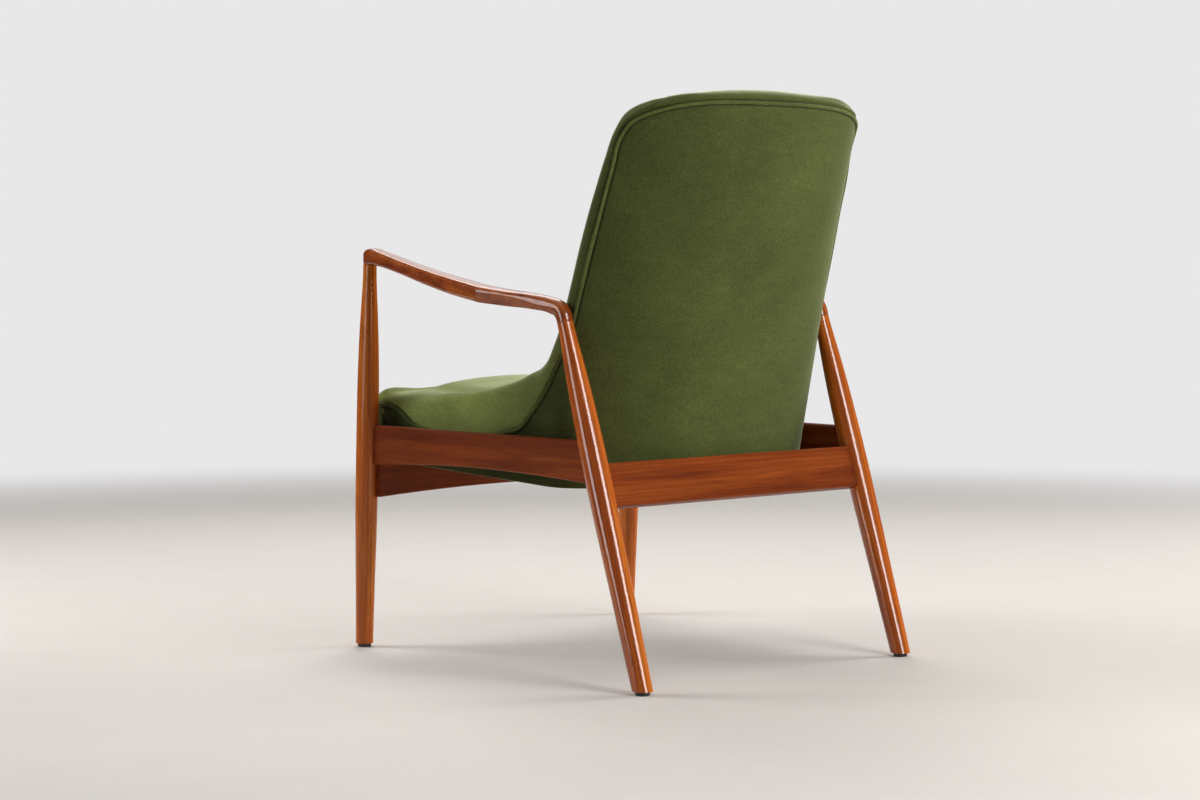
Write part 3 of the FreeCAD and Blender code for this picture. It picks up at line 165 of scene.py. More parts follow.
# ---------------------------------------------------------------- the shell's surfaces, in mm from the rear feet's line
SB = dict(y0=-44.2, lean=0.2495, curl=0.0883e-3, deep=68.8, soft=0.5652, half=250.8, z0=790.2, high=73.2, n=3.34)


def shell_y(x, z):
    sx = np.minimum(np.abs(x) / SB["half"], 1.06)
    g = SB["soft"] * sx ** 2 + (1 - SB["soft"]) * sx ** 7
    return SB["y0"] + SB["lean"] * (z - 700) + SB["curl"] * (z - 700) ** 2 - SB["deep"] * g


def top_edge(deg):
    a = math.radians(deg)
    x = SB["half"] * max(math.cos(a), 0.0) ** (2 / SB["n"])
    z = SB["z0"] + SB["high"] * max(math.sin(a), 0.0) ** (2 / SB["n"])
    return (x, float(shell_y(x, z)), z)


xt = 170.0
zt = SB["z0"] + SB["high"] * (1 - (xt / SB["half"]) ** SB["n"]) ** (1 / SB["n"])
ROWS = [
    ((-676.0, 386.0), (205.0, -667.5, 388.5), (253.0, -660.5, 391.5)),
    ((-684.0, 402.1), (208.0, -668.2, 410.3), (260.5, -652.0, 392.4)),
    ((-679.0, 414.0), (212.0, -659.6, 419.5), (262.5, -639.0, 393.4)),
    ((-660.0, 422.4), (217.0, -639.4, 414.6), (262.0, -620.0, 392.5)),
    ((-625.0, 434.5), (223.0, -606.3, 413.7), (261.5, -597.0, 385.0)),
    ((-565.0, 430.4), (228.0, -554.6, 413.4), (261.5, -560.0, 364.0)),
    ((-500.0, 423.8), (230.0, -500.2, 418.4), (261.0, -500.0, 353.5)),
    ((-430.0, 417.4), (231.0, -430.3, 423.9), (260.0, -435.0, 351.0)),
    ((-360.0, 410.8), (231.0, -364.7, 432.4), (259.0, -370.0, 355.0)),
    ((-300.0, 407.8), (231.0, -314.0, 442.6), (259.0, -330.0, 363.6)),
    ((-250.0, 409.2), (231.0, -278.0, 453.2), (262.0, -298.0, 371.0)),
    ((-213.0, 426.0), (232.0, -249.0, 465.5), (264.5, -265.0, 396.0)),
    ((-190.0, 455.0), (233.8, -229.0, 484.0), (266.0, -234.0, 428.0)),
    ((-174.0, 495.0), (235.2, -218.7, 509.5), (266.5, -208.0, 464.0)),
    ((-158.0, 545.0), (235.8, -207.0, 543.9), (266.5, -179.0, 510.0)),
    ((-141.0, 605.0), (234.4, -188.8, 599.1), (264.0, -159.0, 570.0)),
    ((-121.0, 675.0), (231.8, -167.6, 665.5), (260.4, -137.0, 640.0)),
    ((-101.0, 745.0), (228.0, -145.3, 729.8), (255.5, -116.0, 710.0)),
    ((-85.0, 800.0), (223.5, -126.1, 781.5), (252.0, -96.0, 770.0)),
    ((-73.5, 845.0), (214.3, -109.0, 823.6), (248.8, -85.0, 806.0)),
    ((-60.0, 874.5), (203.2, -91.5, 852.5), top_edge(22)),
    ((-34.0, 884.9), (197.5, -69.5, 864.4), top_edge(32)),
    ((-8.5, 879.0), (197.5, -45.0, 868.0), top_edge(40)),
    ((-1.1, 863.2), (xt, float(shell_y(xt, zt)), zt), top_edge(47)),
]
# how full the roll from the crest to the seam is, and how deep the hollow inside the seat's crest, row by row
FULL = [(0.48, 0.55)] * 12 + [(0.49, 0.55), (0.45, 0.53), (0.40, 0.50), (0.42, 0.52), (0.45, 0.53), (0.49, 0.54), (0.48, 0.53),
                              (0.46, 0.53), (0.48, 0.56), (0.49, 0.58), (0.46, 0.50), (0.46, 0.50)]
TUCK = [0.18, 0.10, 0.0, -0.10, -0.16, -0.20, -0.20, -0.18, -0.12, -0.05, 0.05, 0.12] + [0.18] * 12
HOLLOW = [0, 0, 1.0, 3.0, 4.2, 4.6, 4.6, 4.4, 4.0, 3.0, 2.0, 1.0] + [0.0] * 12

# the seam loop, left half, from the middle of the front to the middle of the top
seam_pts = [(0.0, -676.0, 386.0), (50.0, -675.8, 386.1), (110.0, -674.8, 386.7), (170.0, -672.5, 387.8), (218.0, -668.0, 389.6), (240.0, -664.5, 390.6)]
seam_pts += [r[2] for r in ROWS]
for deg in (52, 60, 68, 76, 83):
    seam_pts.append(top_edge(deg))
seam_pts.append((0.0, float(shell_y(0.0, SB["z0"] + SB["high"])), SB["z0"] + SB["high"]))
SEAM_L = even(np.array(seam_pts), 700)
SEAM = np.concatenate([SEAM_L, (SEAM_L * [-1, 1, 1])[::-1][1:-1]])   # closed loop


def nearest_on_loop(P, loop=None):
    """distance and nearest point of the seam loop for each point"""
    loop = SEAM if loop is None else loop
    P = np.asarray(P, float).reshape(-1, 3)
    dist = np.empty(len(P))
    idx = np.empty(len(P), int)
    for s in range(0, len(P), 4000):
        d = np.linalg.norm(P[s:s + 4000, None, :] - loop[None, :, :], axis=2)
        idx[s:s + 4000] = d.argmin(1)
        dist[s:s + 4000] = d.min(1)
    return dist, idx


# ---------------------------------------------------------------- inner cover: seat, flanks, inside back, top roll
def section_half(M, K, S, full, hollow, tuck, qin, qfl):
    """half a row of the cover: middle to crest, then over the crest down to the seam"""
    cy, cz = M
    g = qin ** 2.3
    inner = np.stack([K[0] * qin, cy + (K[1] - cy) * g, cz + (K[2] - cz) * g - hollow * np.exp(-((qin - 0.80) / 0.12) ** 2)], 1)
    dk = np.array([K[0], 2.3 * (K[1] - cy), 2.3 * (K[2] - cz)])
    dk = dk / np.linalg.norm(dk)
    d = K - S
    L = np.linalg.norm(d)
    up = np.array([0.0, d[1], d[2]])
    up = up / max(np.linalg.norm(up), 1e-9)
    up = up + np.array([tuck, 0, 0])
    up = up / np.linalg.norm(up)
    p1 = K + dk * L * full[0]
    p2 = S + up * L * full[1]
    q = qfl[:, None]
    fl = (1 - q) ** 3 * K + 3 * (1 - q) ** 2 * q * p1 + 3 * (1 - q) * q * q * p2 + q ** 3 * S
    return np.concatenate([inner, fl])


def inner_grid(nrow, nin, nfl):
    M = np.array([r[0] for r in ROWS])
    K = np.array([r[1] for r in ROWS])
    S = np.array([r[2] for r in ROWS])
    u = (arc(K) + arc(np.c_[np.zeros(len(M)), M]) + arc(S)) / 3
    w = np.linspace(0, u[-1], nrow)
    # closer rows at both ends, where the cover rolls into the seam
    t = np.linspace(0, 1, nrow)
    w = u[-1] * (t - 0.132 * np.sin(2 * np.pi * t))
    M, K, S, F = hermite(M, u, w), hermite(K, u, w), hermite(S, u, w), hermite(np.c_[np.array(FULL), np.array(HOLLOW), np.array(TUCK)], u, w)
    qin = np.linspace(0, 1, nin, endpoint=False)
    qfl = 1 - (1 - np.linspace(0, 1, nfl)) ** 1.25
    rows = []
    for i in range(nrow):
        half = section_half(M[i], K[i], S[i], F[i, :2], F[i, 2], F[i, 3], qin, qfl)
        rows.append(np.concatenate([(half[1:] * [-1, 1, 1])[::-1], half]))
    return np.array(rows)


NIN, NFL = 40, 34
G = inner_grid(270, NIN, NFL)
NRI, NCI = G.shape[:2]
# the border is drawn exactly onto the seam
dist, idx = nearest_on_loop(G.reshape(-1, 3))
dist = dist.reshape(NRI, NCI)
edge = np.zeros((NRI, NCI), bool)
edge[0, :] = edge[-1, :] = edge[:, 0] = edge[:, -1] = True
shift = np.zeros_like(G)
flat_idx = idx.reshape(NRI, NCI)
shift[edge] = SEAM[flat_idx[edge]] - G[edge]
# spread the border's shift inwards, from all four edges
high = smoothstep(832.0, 858.0, G[..., 2])
G[..., 2] += high * (0.9 * np.exp(-((G[..., 0] - 160.0) / 22.0) ** 2) - 1.7 * np.exp(-((G[..., 0] - 200.0) / 12.0) ** 2))   # a rounder shoulder
fuller = np.exp(-((G[..., 0] + 166.0) / np.where(G[..., 0] > -166.0, 58.0, 46.0)) ** 2) * smoothstep(-236.0, -204.0, G[..., 0])
G[..., 2] += 5.9 * high * fuller                 # one corner of the roll is stuffed a little fuller
shift[edge] = SEAM[flat_idx[edge]] - G[edge]
tr = np.linspace(0, 1, NRI)
tr = tr - 0.132 * np.sin(2 * np.pi * tr)
tc_ = np.arange(NCI)
fr0, fr1 = np.clip(1 - tr / 0.034, 0, 1) ** 2, np.clip(1 - (1 - tr) / 0.034, 0, 1) ** 2
fc0, fc1 = np.clip(1 - tc_ / 12.0, 0, 1) ** 2, np.clip(1 - (NCI - 1 - tc_) / 12.0, 0, 1) ** 2
spread = np.zeros_like(G)
for fr, r_i in ((fr0, 0), (fr1, NRI - 1)):
    spread += fr[:, None, None] * shift[r_i][None]
for fc_, c_i in ((fc0, 0), (fc1, NCI - 1)):
    spread += fc_[None, :, None] * shift[:, c_i][:, None]
for fr, r_i in ((fr0, 0), (fr1, NRI - 1)):
    for fc_, c_i in ((fc0, 0), (fc1, NCI - 1)):
        spread -= (fr[:, None] * fc_[None, :])[..., None] * shift[r_i, c_i]
shift = spread
G = G + shift
dist = nearest_on_loop(G.reshape(-1, 3))[0].reshape(NRI, NCI)
N = grid_normals(G)
if N[NRI // 3, NCI // 2, 2] < 0:
    N = -N
# soft unevenness of foam under cloth
X, Y, Z = G[..., 0], G[..., 1], G[..., 2]
away = smoothstep(4.0, 60.0, dist)
soft = lattice_noise(G, 95.0, 3) * 0.9 + lattice_noise(G, 48.0, 5) * 0.45
G = G + N * (soft * away)[..., None]
# the cloth is drawn in beside the piping
top_w = smoothstep(790.0, 850.0, G[..., 2])
lip = 1.8 * top_w * np.exp(-((dist - 9.5) / 4.5) ** 2)
G = G + N * lip[..., None]
groove = np.exp(-((dist - 3.1) / (1.9 + 0.6 * top_w)) ** 2) * smoothstep(0.0, 2.4, dist) * (2.4 + 1.3 * top_w)
# painted shade: a band about 2 to 5 mm from the seam, which the velvet material darkens
IN_SEAM_SHADE = np.exp(-((dist - 3.4) / 1.5) ** 2)
fine = 1 + 0.2 * lattice_noise(G, 22.0, 9)
G = G - N * (groove * fine)[..., None]
IN_G, IN_N = G, grid_normals(G)
if IN_N[NRI // 3, NCI // 2, 2] < 0:
    IN_N = -IN_N


def to_row(P):
    P = np.asarray(P, float)
    return np.stack([P[..., 0] * MM, P[..., 1] * MM + SH, P[..., 2] * MM], -1)


def sheet_solid(name, G_, N_, thick, flip):
    """a cloth with two faces: the seen one on the grid, the other a thickness behind it"""
    nr, nc = G_.shape[:2]
    top = to_row(G_).reshape(-1, 3)
    low = to_row(G_ - N_ * thick).reshape(-1, 3)
    faces = grid_faces(nr, nc, 0, flip=flip) + grid_faces(nr, nc, nr * nc, flip=not flip)
    ring = [(0, j) for j in range(nc)] + [(i, nc - 1) for i in range(1, nr)] + \
           [(nr - 1, j) for j in range(nc - 2, -1, -1)] + [(i, 0) for i in range(nr - 2, 0, -1)]
    ring = [i * nc + j for i, j in ring]
    for a, b in zip(ring, ring[1:] + ring[:1]):
        q = (a, b, b + nr * nc, a + nr * nc)
        faces.append(q if flip else q[::-1])
    return mesh_object(name, np.concatenate([top, low]), faces)


def outward(ob, probe):
    """turn the whole mesh's faces if the face nearest the probe doesn't look towards it"""
    me = ob.data
    c = np.array([p.center for p in me.polygons])
    n = np.array([p.normal for p in me.polygons])
    d = np.asarray(probe) - c
    k = np.linalg.norm(d, axis=1).argmin()
    if (d[k] * n[k]).sum() < 0:
        me.flip_normals()
    return ob


inner = sheet_solid("seat_and_back_cover", IN_G, IN_N, 2.2, False)
outward(inner, (0.0, SH - 0.45, 0.6))
point_value(inner, "seam_painted_shade", np.tile(IN_SEAM_SHADE.ravel(), 2))

# ---------------------------------------------------------------- outer cover: back panel, lower sides
SIDE_X = np.array([(280, 255.0), (350, 258.0), (362, 259.0), (400, 264.0), (470, 266.0), (540, 264.5), (620, 260.5), (880, 250.5)])


def side_x(z):
    return np.interp(z, SIDE_X[:, 0], SIDE_X[:, 1])


def corner_y(z):
    xc = side_x(z) - 6.0
    return shell_y(xc, z) - 3.0


def low_z(y_):
    return 287.8 + 0.0455 * np.maximum(-236.0 - y_, 0.0)


i_merge = int(np.argmin(np.abs(SEAM_L[:, 2] - 532.0) + (SEAM_L[:, 1] < -300) * 1e3))
i_front = int(np.argmin(np.abs(SEAM_L[:, 1] + 643.0) + (np.abs(SEAM_L[:, 0]) < 200) * 1e3))
NRA, NSI, NV = 70, 84, 84
vv = 1 - (1 - np.linspace(0, 1, NV)) ** 1.8          # denser near the seam
cols = []
# rear: from the middle to the corner
top_rear = even(SEAM_L[i_merge:][::-1], NRA)
for a in range(NRA):
    q = a / (NRA - 1.0)
    xb = q * (side_x(288.0) - 6.0)
    zb = 287.8
    P = []
    for v in vv:
        # each line starts upright, then fans towards the seam
        w = v
        x = xb + (top_rear[a, 0] - xb) * (w ** 1.15)
        z = zb + (top_rear[a, 2] - zb) * w
        y_ = float(shell_y(x, z))
        corner = smoothstep(0.86, 1.0, q) * (1 - smoothstep(0.80, 1.0, v))
        y_ = y_ * 1.0 - 3.0 * corner
        P.append((x, y_, z))
    P = np.array(P)
    P[-1] = top_rear[a]
    cols.append(P)
# side: from the corner to the front
top_side = even(SEAM_L[i_front:i_merge + 1][::-1], NSI)
for b in range(1, NSI):
    q = b / (NSI - 1.0)
    qb = q ** 0.92
    yb = corner_y(288.0) + (-645.0 - corner_y(288.0)) * qb
    zb = low_z(yb)
    P = []
    for v in vv:
        y_ = yb + (top_side[b, 1] - yb) * v
        z = zb + (top_side[b, 2] - zb) * v
        dy = corner_y(z) - y_
        x = side_x(z) - 6.0 * max(0.0, 1 - dy / 26.0) ** 2
        x += (top_side[b, 0] - x) * smoothstep(0.55, 1.0, v)
        P.append((float(x), float(y_), float(z)))
    P = np.array(P)
    P[-1] = top_side[b]
    cols.append(P)
cols = np.array(cols)                       # (columns, v, 3), left half
# soften the corner, keeping the seam and the bottom
for it in range(14):
    sm = (cols[:-2] + cols[2:]) / 2
    w = np.zeros(len(cols) - 2)
    k = np.arange(1, len(cols) - 1)
    w = np.exp(-((k - (NRA - 1)) / 6.0) ** 2)[:, None, None] * 0.5
    vw = (1 - smoothstep(0.93, 1.0, vv))[None, :, None]
    cols[1:-1] = cols[1:-1] + (sm - cols[1:-1]) * w * vw
full = np.concatenate([(cols[1:] * [-1, 1, 1])[::-1], cols])
OG = np.transpose(full, (1, 0, 2))          # rows from the bottom to the seam
ON = grid_normals(OG)
mid_c = OG.shape[1] // 2
if ON[NV // 2, mid_c, 1] < 0:
    ON = -ON
# the cloth is turned in below: round the edge, then inwards under the frame
fold = []
for ang in (90, 70, 50, 30, 12):
    a = math.radians(ang)
    fold.append(OG[0] - ON[0] * (3.2 - 3.2 * math.cos(math.radians(90 - ang))) * 1.0 - np.array([0, 0, 3.2]) * (1 - math.cos(math.radians(90 - ang))) * 0)
inwards = -ON[0] * np.array([1.0, 1.0, 0.0])
inwards /= np.maximum(np.linalg.norm(inwards, axis=1, keepdims=True), 1e-9)
fold = []
r_ = 3.0
for ang in (75, 55, 35, 18, 0):
    a = math.radians(ang)
    fold.append(OG[0] + inwards * (r_ - r_ * math.sin(a)) - np.array([0, 0, 1.0]) * (r_ * math.cos(a)) * 0.85)
last = fold[-1]
extra = [last + inwards * k for k in (5.0, 11.0, 17.0)]
OG = np.concatenate([np.array(extra[::-1]), np.array(fold[::-1]), OG])
NRO, NCO = OG.shape[:2]
ON = grid_normals(OG)
if ON[NRO // 2, mid_c, 1] < 0:
    ON = -ON
od, _ = nearest_on_loop(OG.reshape(-1, 3))
od = od.reshape(NRO, NCO)
away = smoothstep(5.0, 70.0, od) * smoothstep(0, 10, np.arange(NRO))[:, None]
soft = lattice_noise(OG, 130.0, 11) * 0.55 + lattice_noise(OG, 60.0, 12) * 0.25
OG = OG + ON * (soft * away)[..., None]
groove = np.exp(-((od - 3.1) / 1.9) ** 2) * smoothstep(0.0, 2.4, od) * 1.2
# painted shade: the same darkened band beside the seam, on the outer cover
OUT_SEAM_SHADE = np.exp(-((od - 3.4) / 1.4) ** 2)
OG = OG - ON * (groove * (1 + 0.15 * lattice_noise(OG, 25.0, 15)))[..., None]
ON = grid_normals(OG)
if ON[NRO // 2, mid_c, 1] < 0:
    ON = -ON
outer = sheet_solid("back_and_side_cover", OG, ON, 2.0, True)
outward(outer, (0.0, SH + 0.6, 0.6))
point_value(outer, "seam_painted_shade", np.tile(OUT_SEAM_SHADE.ravel(), 2))


# ---------------------------------------------------------------- piping
def tube(name, path, radius, sides, closed=True, wobble=0.0, seed=1):
    P = np.asarray(path, float)
    n = len(P)
    T = (np.roll(P, -1, 0) - np.roll(P, 1, 0)) if closed else np.gradient(P, axis=0)
    T /= np.linalg.norm(T, axis=1, keepdims=True)
    U = np.zeros_like(P)
    u = np.cross(T[0], [0, 0, 1.0])
    if np.linalg.norm(u) < 1e-3:
        u = np.cross(T[0], [0, 1.0, 0])
    for i in range(n):
        u = u - T[i] * u.dot(T[i])
        u = u / np.linalg.norm(u)
        U[i] = u
    W = np.cross(T, U)
    # a closed tube: the turn left over at the end is spread along it
    if closed:
        u = U[-1] - T[0] * U[-1].dot(T[0])
        u /= np.linalg.norm(u)
        turn = math.atan2(np.dot(np.cross(u, U[0]), T[0]), np.dot(u, U[0]))
        ang = np.linspace(0, turn, n, endpoint=False)
        U, W = (U * np.cos(ang)[:, None] + W * np.sin(ang)[:, None],
                W * np.cos(ang)[:, None] - U * np.sin(ang)[:, None])
    r = radius * (1 + wobble * lattice_noise(P * 1.0, 14.0, seed))
    a = np.linspace(0, 2 * np.pi, sides, endpoint=False)
    V = P[:, None, :] + r[:, None, None] * (np.cos(a)[None, :, None] * U[:, None, :] + np.sin(a)[None, :, None] * W[:, None, :])
    verts = V.reshape(-1, 3)
    faces = grid_faces(n, sides, close_c=True)
    if closed:
        base = (n - 1) * sides
        for j in range(sides):
            faces.append((base + j, base + (j + 1) % sides, (j + 1) % sides, j))
    else:
        faces.append(tuple(range(sides))[::-1])
        faces.append(tuple((n - 1) * sides + j for j in range(sides)))
    return mesh_object(name, verts, faces)


# the piping stands a little proud of both covers: outwards is away from both grids' insides
loop = even(np.concatenate([SEAM, SEAM[:1]]), 1201)[:-1]
di, ji = nearest_on_loop(loop, IN_G.reshape(-1, 3))
do, jo = nearest_on_loop(loop, OG.reshape(-1, 3))
out_n = IN_N.reshape(-1, 3)[ji] + ON.reshape(-1, 3)[jo]
for it in range(30):
    out_n = (np.roll(out_n, 1, 0) + out_n + np.roll(out_n, -1, 0)) / 3
out_n /= np.linalg.norm(out_n, axis=1, keepdims=True)
corner_in = smoothstep(-225.0, -245.0, loop[:, 0]) * smoothstep(740.0, 790.0, loop[:, 2])
pipe_path = to_row(loop + out_n * (0.7 - 1.5 * corner_in)[:, None])
piping = tube("seam_piping", pipe_path, 0.00235, 14, wobble=0.035, seed=21)

# ---------------------------------------------------------------- front border below the seat's front seam
fb_top = np.array([(262.0, -636.0, 392.4), (262.2, -648.0, 391.6), (259.5, -657.5, 390.8), (248.5, -664.0, 389.8), (218.0, -667.8, 388.2),
                   (170.0, -672.4, 386.2), (110.0, -674.7, 385.0), (50.0, -675.8, 384.4), (0.0, -676.0, 384.3)])
fb_low = np.array([(261.0, -636.0, 307.0), (261.2, -648.0, 307.0), (258.5, -657.0, 307.0), (248.0, -661.5, 307.0), (218.0, -660.5, 307.0),
                   (170.0, -663.0, 307.0), (110.0, -664.5, 307.0), (50.0, -665.5, 307.0), (0.0, -666.0, 307.0)])
ft, fl_ = even(fb_top, 60), even(fb_low, 60)
rows = []
for q in np.linspace(0, 1, 30):
    half = fl_ + (ft - fl_) * q
    half = half.copy()
    half[:, 1] -= 1.5 * math.sin(math.pi * q)
    rows.append(np.concatenate([half, (half[:-1] * [-1, 1, 1])[::-1]]))
FG = np.array(rows)
FN = grid_normals(FG)
if FN[15, 60, 1] > 0:
    FN = -FN
FG = FG + FN * (lattice_noise(FG, 60.0, 31) * 0.5)[..., None]
ins = -FN[0] * np.array([1, 1, 0.0])
under = [FG[0] + ins * (3 - 3 * math.sin(math.radians(a))) - np.array([0, 0, 2.6]) * math.cos(math.radians(a)) for a in (70, 45, 20, 0)]
under += [under[-1] + ins * k for k in (6.0, 14.0)]
FG = np.concatenate([np.array(under[::-1]), FG])
FN = grid_normals(FG)
if FN[20, 60, 1] > 0:
    FN = -FN
border = sheet_solid("front_border_cover", FG, FN, 1.8, True)
outward(border, (0.0, SH - 0.9, 0.35))

# ---------------------------------------------------------------- dust cover
dust_pts = [(0.0, -660.0), (120.0, -658.0), (200.0, -652.0), (238.0, -643.0), (250.0, -628.0), (251.0, -560.0), (251.0, -460.0), (251.0, -340.0),
            (250.0, -262.0), (242.0, -228.0), (222.0, -192.0), (180.0, -168.0), (120.0, -152.0), (60.0, -144.0), (0.0, -141.5)]
dl = np.array(dust_pts)
dl = np.concatenate([dl, (dl[1:-1] * [-1, 1])[::-1]])
ring_c = even(np.c_[np.concatenate([dl, dl[:1]]), np.zeros(len(dl) + 1)], 181)[:-1, :2]
centre = np.array([0.0, -400.0])
dv, df = [], []
RINGS = 26


def dust_z(x, y_):
    return 297.6 - 0.046 * (y_ + 450.0) + 0.7


for k in range(RINGS + 1):
    f = 1 - (k / RINGS) ** 1.0
    for p in ring_c:
        q = centre + (p - centre) * f
        edge_in = 1 - f
        sag = -2.2 * (1 - f ** 2)
        wr = 0.5 * math.sin(p[0] * 0.09 + p[1] * 0.11) * math.exp(-edge_in * 9) * smoothstep(0, 0.04, np.array([edge_in]))[0]
        dv.append((q[0], q[1], float(dust_z(q[0], q[1]) + sag + wr)))
nd = len(ring_c)
dv = np.array(dv)
for k in range(RINGS):
    for j in range(nd):
        df.append((k * nd + j, k * nd + (j + 1) % nd, (k + 1) * nd + (j + 1) % nd, (k + 1) * nd + j))
keep = dv[:RINGS * nd]
dv = np.concatenate([keep, [dv[RINGS * nd:].mean(0)]])
df = [f if f[2] < RINGS * nd else (f[0], f[1], RINGS * nd) for f in df]
low_v = dv - np.array([0, 0, 0.8])
nb = len(dv)
faces = df + [tuple(i + nb for i in f)[::-1] for f in df]
for j in range(nd):
    faces.append((j, (j + 1) % nd, (j + 1) % nd + nb, j + nb)[::-1])
dust = mesh_object("dust_cover_cloth", to_row(np.concatenate([dv, low_v])), faces)
outward(dust, (0.0, SH - 0.4, 0.0))

# ---------------------------------------------------------------- armrests
AXR = (-0.0061, -0.3254, 1.0)
ZT = 535.4
ELBOW = ((317.0, -314.0, 577.8), (0.06, -0.985, 0.165), 19.5, 13.0, 4.0)
ARM_REAR = [
    ((280.2 - 0.0061 * ZT, -0.3254 * ZT, ZT), AXR, 12.1, 12.1, 2.0),
    ((276.9, -178.0, 546.5), (0.0, -0.37, 0.93), 12.5, 12.5, 2.05),
    ((277.7, -185.2, 556.0), (0.05, -0.78, 0.62), 13.0, 12.6, 2.2),
    ((281.0, -200.5, 562.1), (0.18, -0.975, 0.12), 14.2, 12.0, 2.5),
    ((290.5, -229.0, 567.7), (0.27, -0.96, 0.085), 16.0, 11.8, 3.0),
    ((304.0, -270.0, 572.3), (0.27, -0.955, 0.11), 18.2, 12.3, 3.5),
    ELBOW,
]
ARM_FRONT = [
    ELBOW,
    ((313.5, -375.0, 587.4), (-0.08, -0.97, 0.215), 18.0, 13.0, 4.5),
    ((305.5, -455.0, 601.3), (-0.1, -0.97, 0.215), 16.2, 11.9, 4.5),
    ((297.5, -535.0, 617.6), (-0.09, -0.97, 0.22), 14.6, 10.8, 4.5),
    ((291.8, -600.0, 630.3), (-0.06, -0.98, 0.17), 13.4, 11.7, 4.5),
    ((290.2, -627.0, 634.0), (-0.02, -1.0, 0.04), 12.4, 13.2, 4.2),
    ((289.9, -636.0, 633.0), (0.0, -1.0, -0.02), 11.6, 12.6, 3.8),
    ((289.8, -641.5, 631.4), (0.0, -1.0, -0.05), 9.9, 10.9, 3.4),
    ((289.8, -644.6, 630.0), (0.0, -1.0, -0.05), 7.2, 8.6, 3.0),
]
# the flat that is pared off the rear part's lower outer side
FLAT_P = np.array([336.1, -312.8, 578.6])
FLAT_N = np.array([math.cos(math.radians(20)) * math.cos(math.radians(16.2)), math.cos(math.radians(20)) * math.sin(math.radians(16.2)),
                   -math.sin(math.radians(20))])


def arm_rings(stations, step, sides):
    flat = []
    for c, d, w, h, n in stations:
        d = np.array(d, float)
        d /= np.linalg.norm(d)
        flat.append(list(c) + list(d) + [w, h, n])
    flat = np.array(flat)
    u = arc(flat[:, :3])
    m = max(3, int(round(u[-1] / step)))
    F = hermite(flat, u, np.linspace(0, u[-1], m + 1))
    rings = []
    a = 2 * np.pi * np.arange(721) / 720.0 - np.pi / 2
    for f in F:
        c, d, hw, hh, n = f[:3], f[3:6], f[6], f[7], f[8]
        d = d / np.linalg.norm(d)
        across = np.array([1.0, 0, 0]) - d * d[0]
        across /= np.linalg.norm(across)
        up = np.cross(d, across)
        if up[2] < 0 or (abs(d[2]) > 0.7 and up[1] < 0):
            up = -up
        px = hw * np.sign(np.cos(a)) * np.abs(np.cos(a)) ** (2.0 / n)
        py = hh * np.sign(np.sin(a)) * np.abs(np.sin(a)) ** (2.0 / n)
        L = arc(np.c_[px, py])
        want = np.linspace(0, L[-1], sides, endpoint=False)
        px, py = np.interp(want, L, px), np.interp(want, L, py)
        rings.append(c + across * px[:, None] + up * py[:, None])
    return np.array(rings)


def arm_mesh(name, side):
    R1 = arm_rings(ARM_REAR, 2.5, 72)
    R2 = arm_rings(ARM_FRONT, 5.0, 72)
    cut = np.maximum((R1 - FLAT_P) @ FLAT_N, 0.0) * smoothstep(-196.0, -214.0, R1[..., 1])
    R1 = R1 - FLAT_N * cut[..., None]
    verts, faces = [], []

    def add(R, cap0, cap1):
        base = len(verts)
        n, k = R.shape[:2]
        verts.extend(R.reshape(-1, 3).tolist())
        faces.extend(grid_faces(n, k, base, close_c=True))
        if cap0:
            faces.append(tuple(base + j for j in range(k))[::-1])
        if cap1:
            faces.append(tuple(base + (n - 1) * k + j for j in range(k)))

    # rounded nose at the front end
    nose = []
    lastr = R2[-1]
    c = lastr.mean(0)
    for q in (0.35, 0.62, 0.82, 0.95):
        nose.append(c + (lastr - c) * math.sqrt(1 - q * q) + np.array([0, -2.2, 0.0]) * q)
    R2 = np.concatenate([R2, np.array(nose)])
    R = np.concatenate([R1, R2[1:]])
    add(R, True, True)
    V = np.array(verts)
    V[:, 0] *= side
    if side < 0:
        faces = [f[::-1] for f in faces]
    ob = mesh_object(name, to_row(V), faces)
    me = ob.data
    # the crease at the elbow stays sharp
    ring = len(R1) - 1
    k = R1.shape[1]
    want = set()
    for j in range(k):
        a, b = ring * k + j, ring * k + (j + 1) % k
        want.add((min(a, b), max(a, b)))
    for e in me.edges:
        a, b = e.vertices
        if (min(a, b), max(a, b)) in want:
            e.use_edge_sharp = True
    return ob


arms = {}
for word, side in (("left", 1), ("right", -1)):
    ob = arm_mesh("arm_" + word, side)
    outward(ob, (side * 0.29, SH - 0.40, 0.9))
    arms[word] = ob


# ---------------------------------------------------------------- materials
def new_mat(name):
    m = bpy.data.materials.new(name)
    m.use_nodes = True
    nt = m.node_tree
    for n in list(nt.nodes):
        nt.nodes.remove(n)
    out = nt.nodes.new("ShaderNodeOutputMaterial")
    b = nt.nodes.new("ShaderNodeBsdfPrincipled")
    nt.links.new(b.outputs["BSDF"], out.inputs["Surface"])
    return m, nt, b


def srgb(r, g, b_):
    def f(c):
        c = c / 255.0
        return c / 12.92 if c <= 0.04045 else ((c + 0.055) / 1.055) ** 2.4
    return (f(r), f(g), f(b_), 1.0)


def coords(nt, rotation=(0, 0, 0), scale=(1, 1, 1), location=(0, 0, 0)):
    tc = nt.nodes.new("ShaderNodeTexCoord")
    mp = nt.nodes.new("ShaderNodeMapping")
    mp.vector_type = "TEXTURE"
    mp.inputs["Rotation"].default_value = rotation
    nt.links.new(tc.outputs["Object"], mp.inputs["Vector"])
    m2 = nt.nodes.new("ShaderNodeMapping")
    m2.inputs["Scale"].default_value = scale
    m2.inputs["Location"].default_value = location
    nt.links.new(mp.outputs["Vector"], m2.inputs["Vector"])
    return m2.outputs["Vector"]


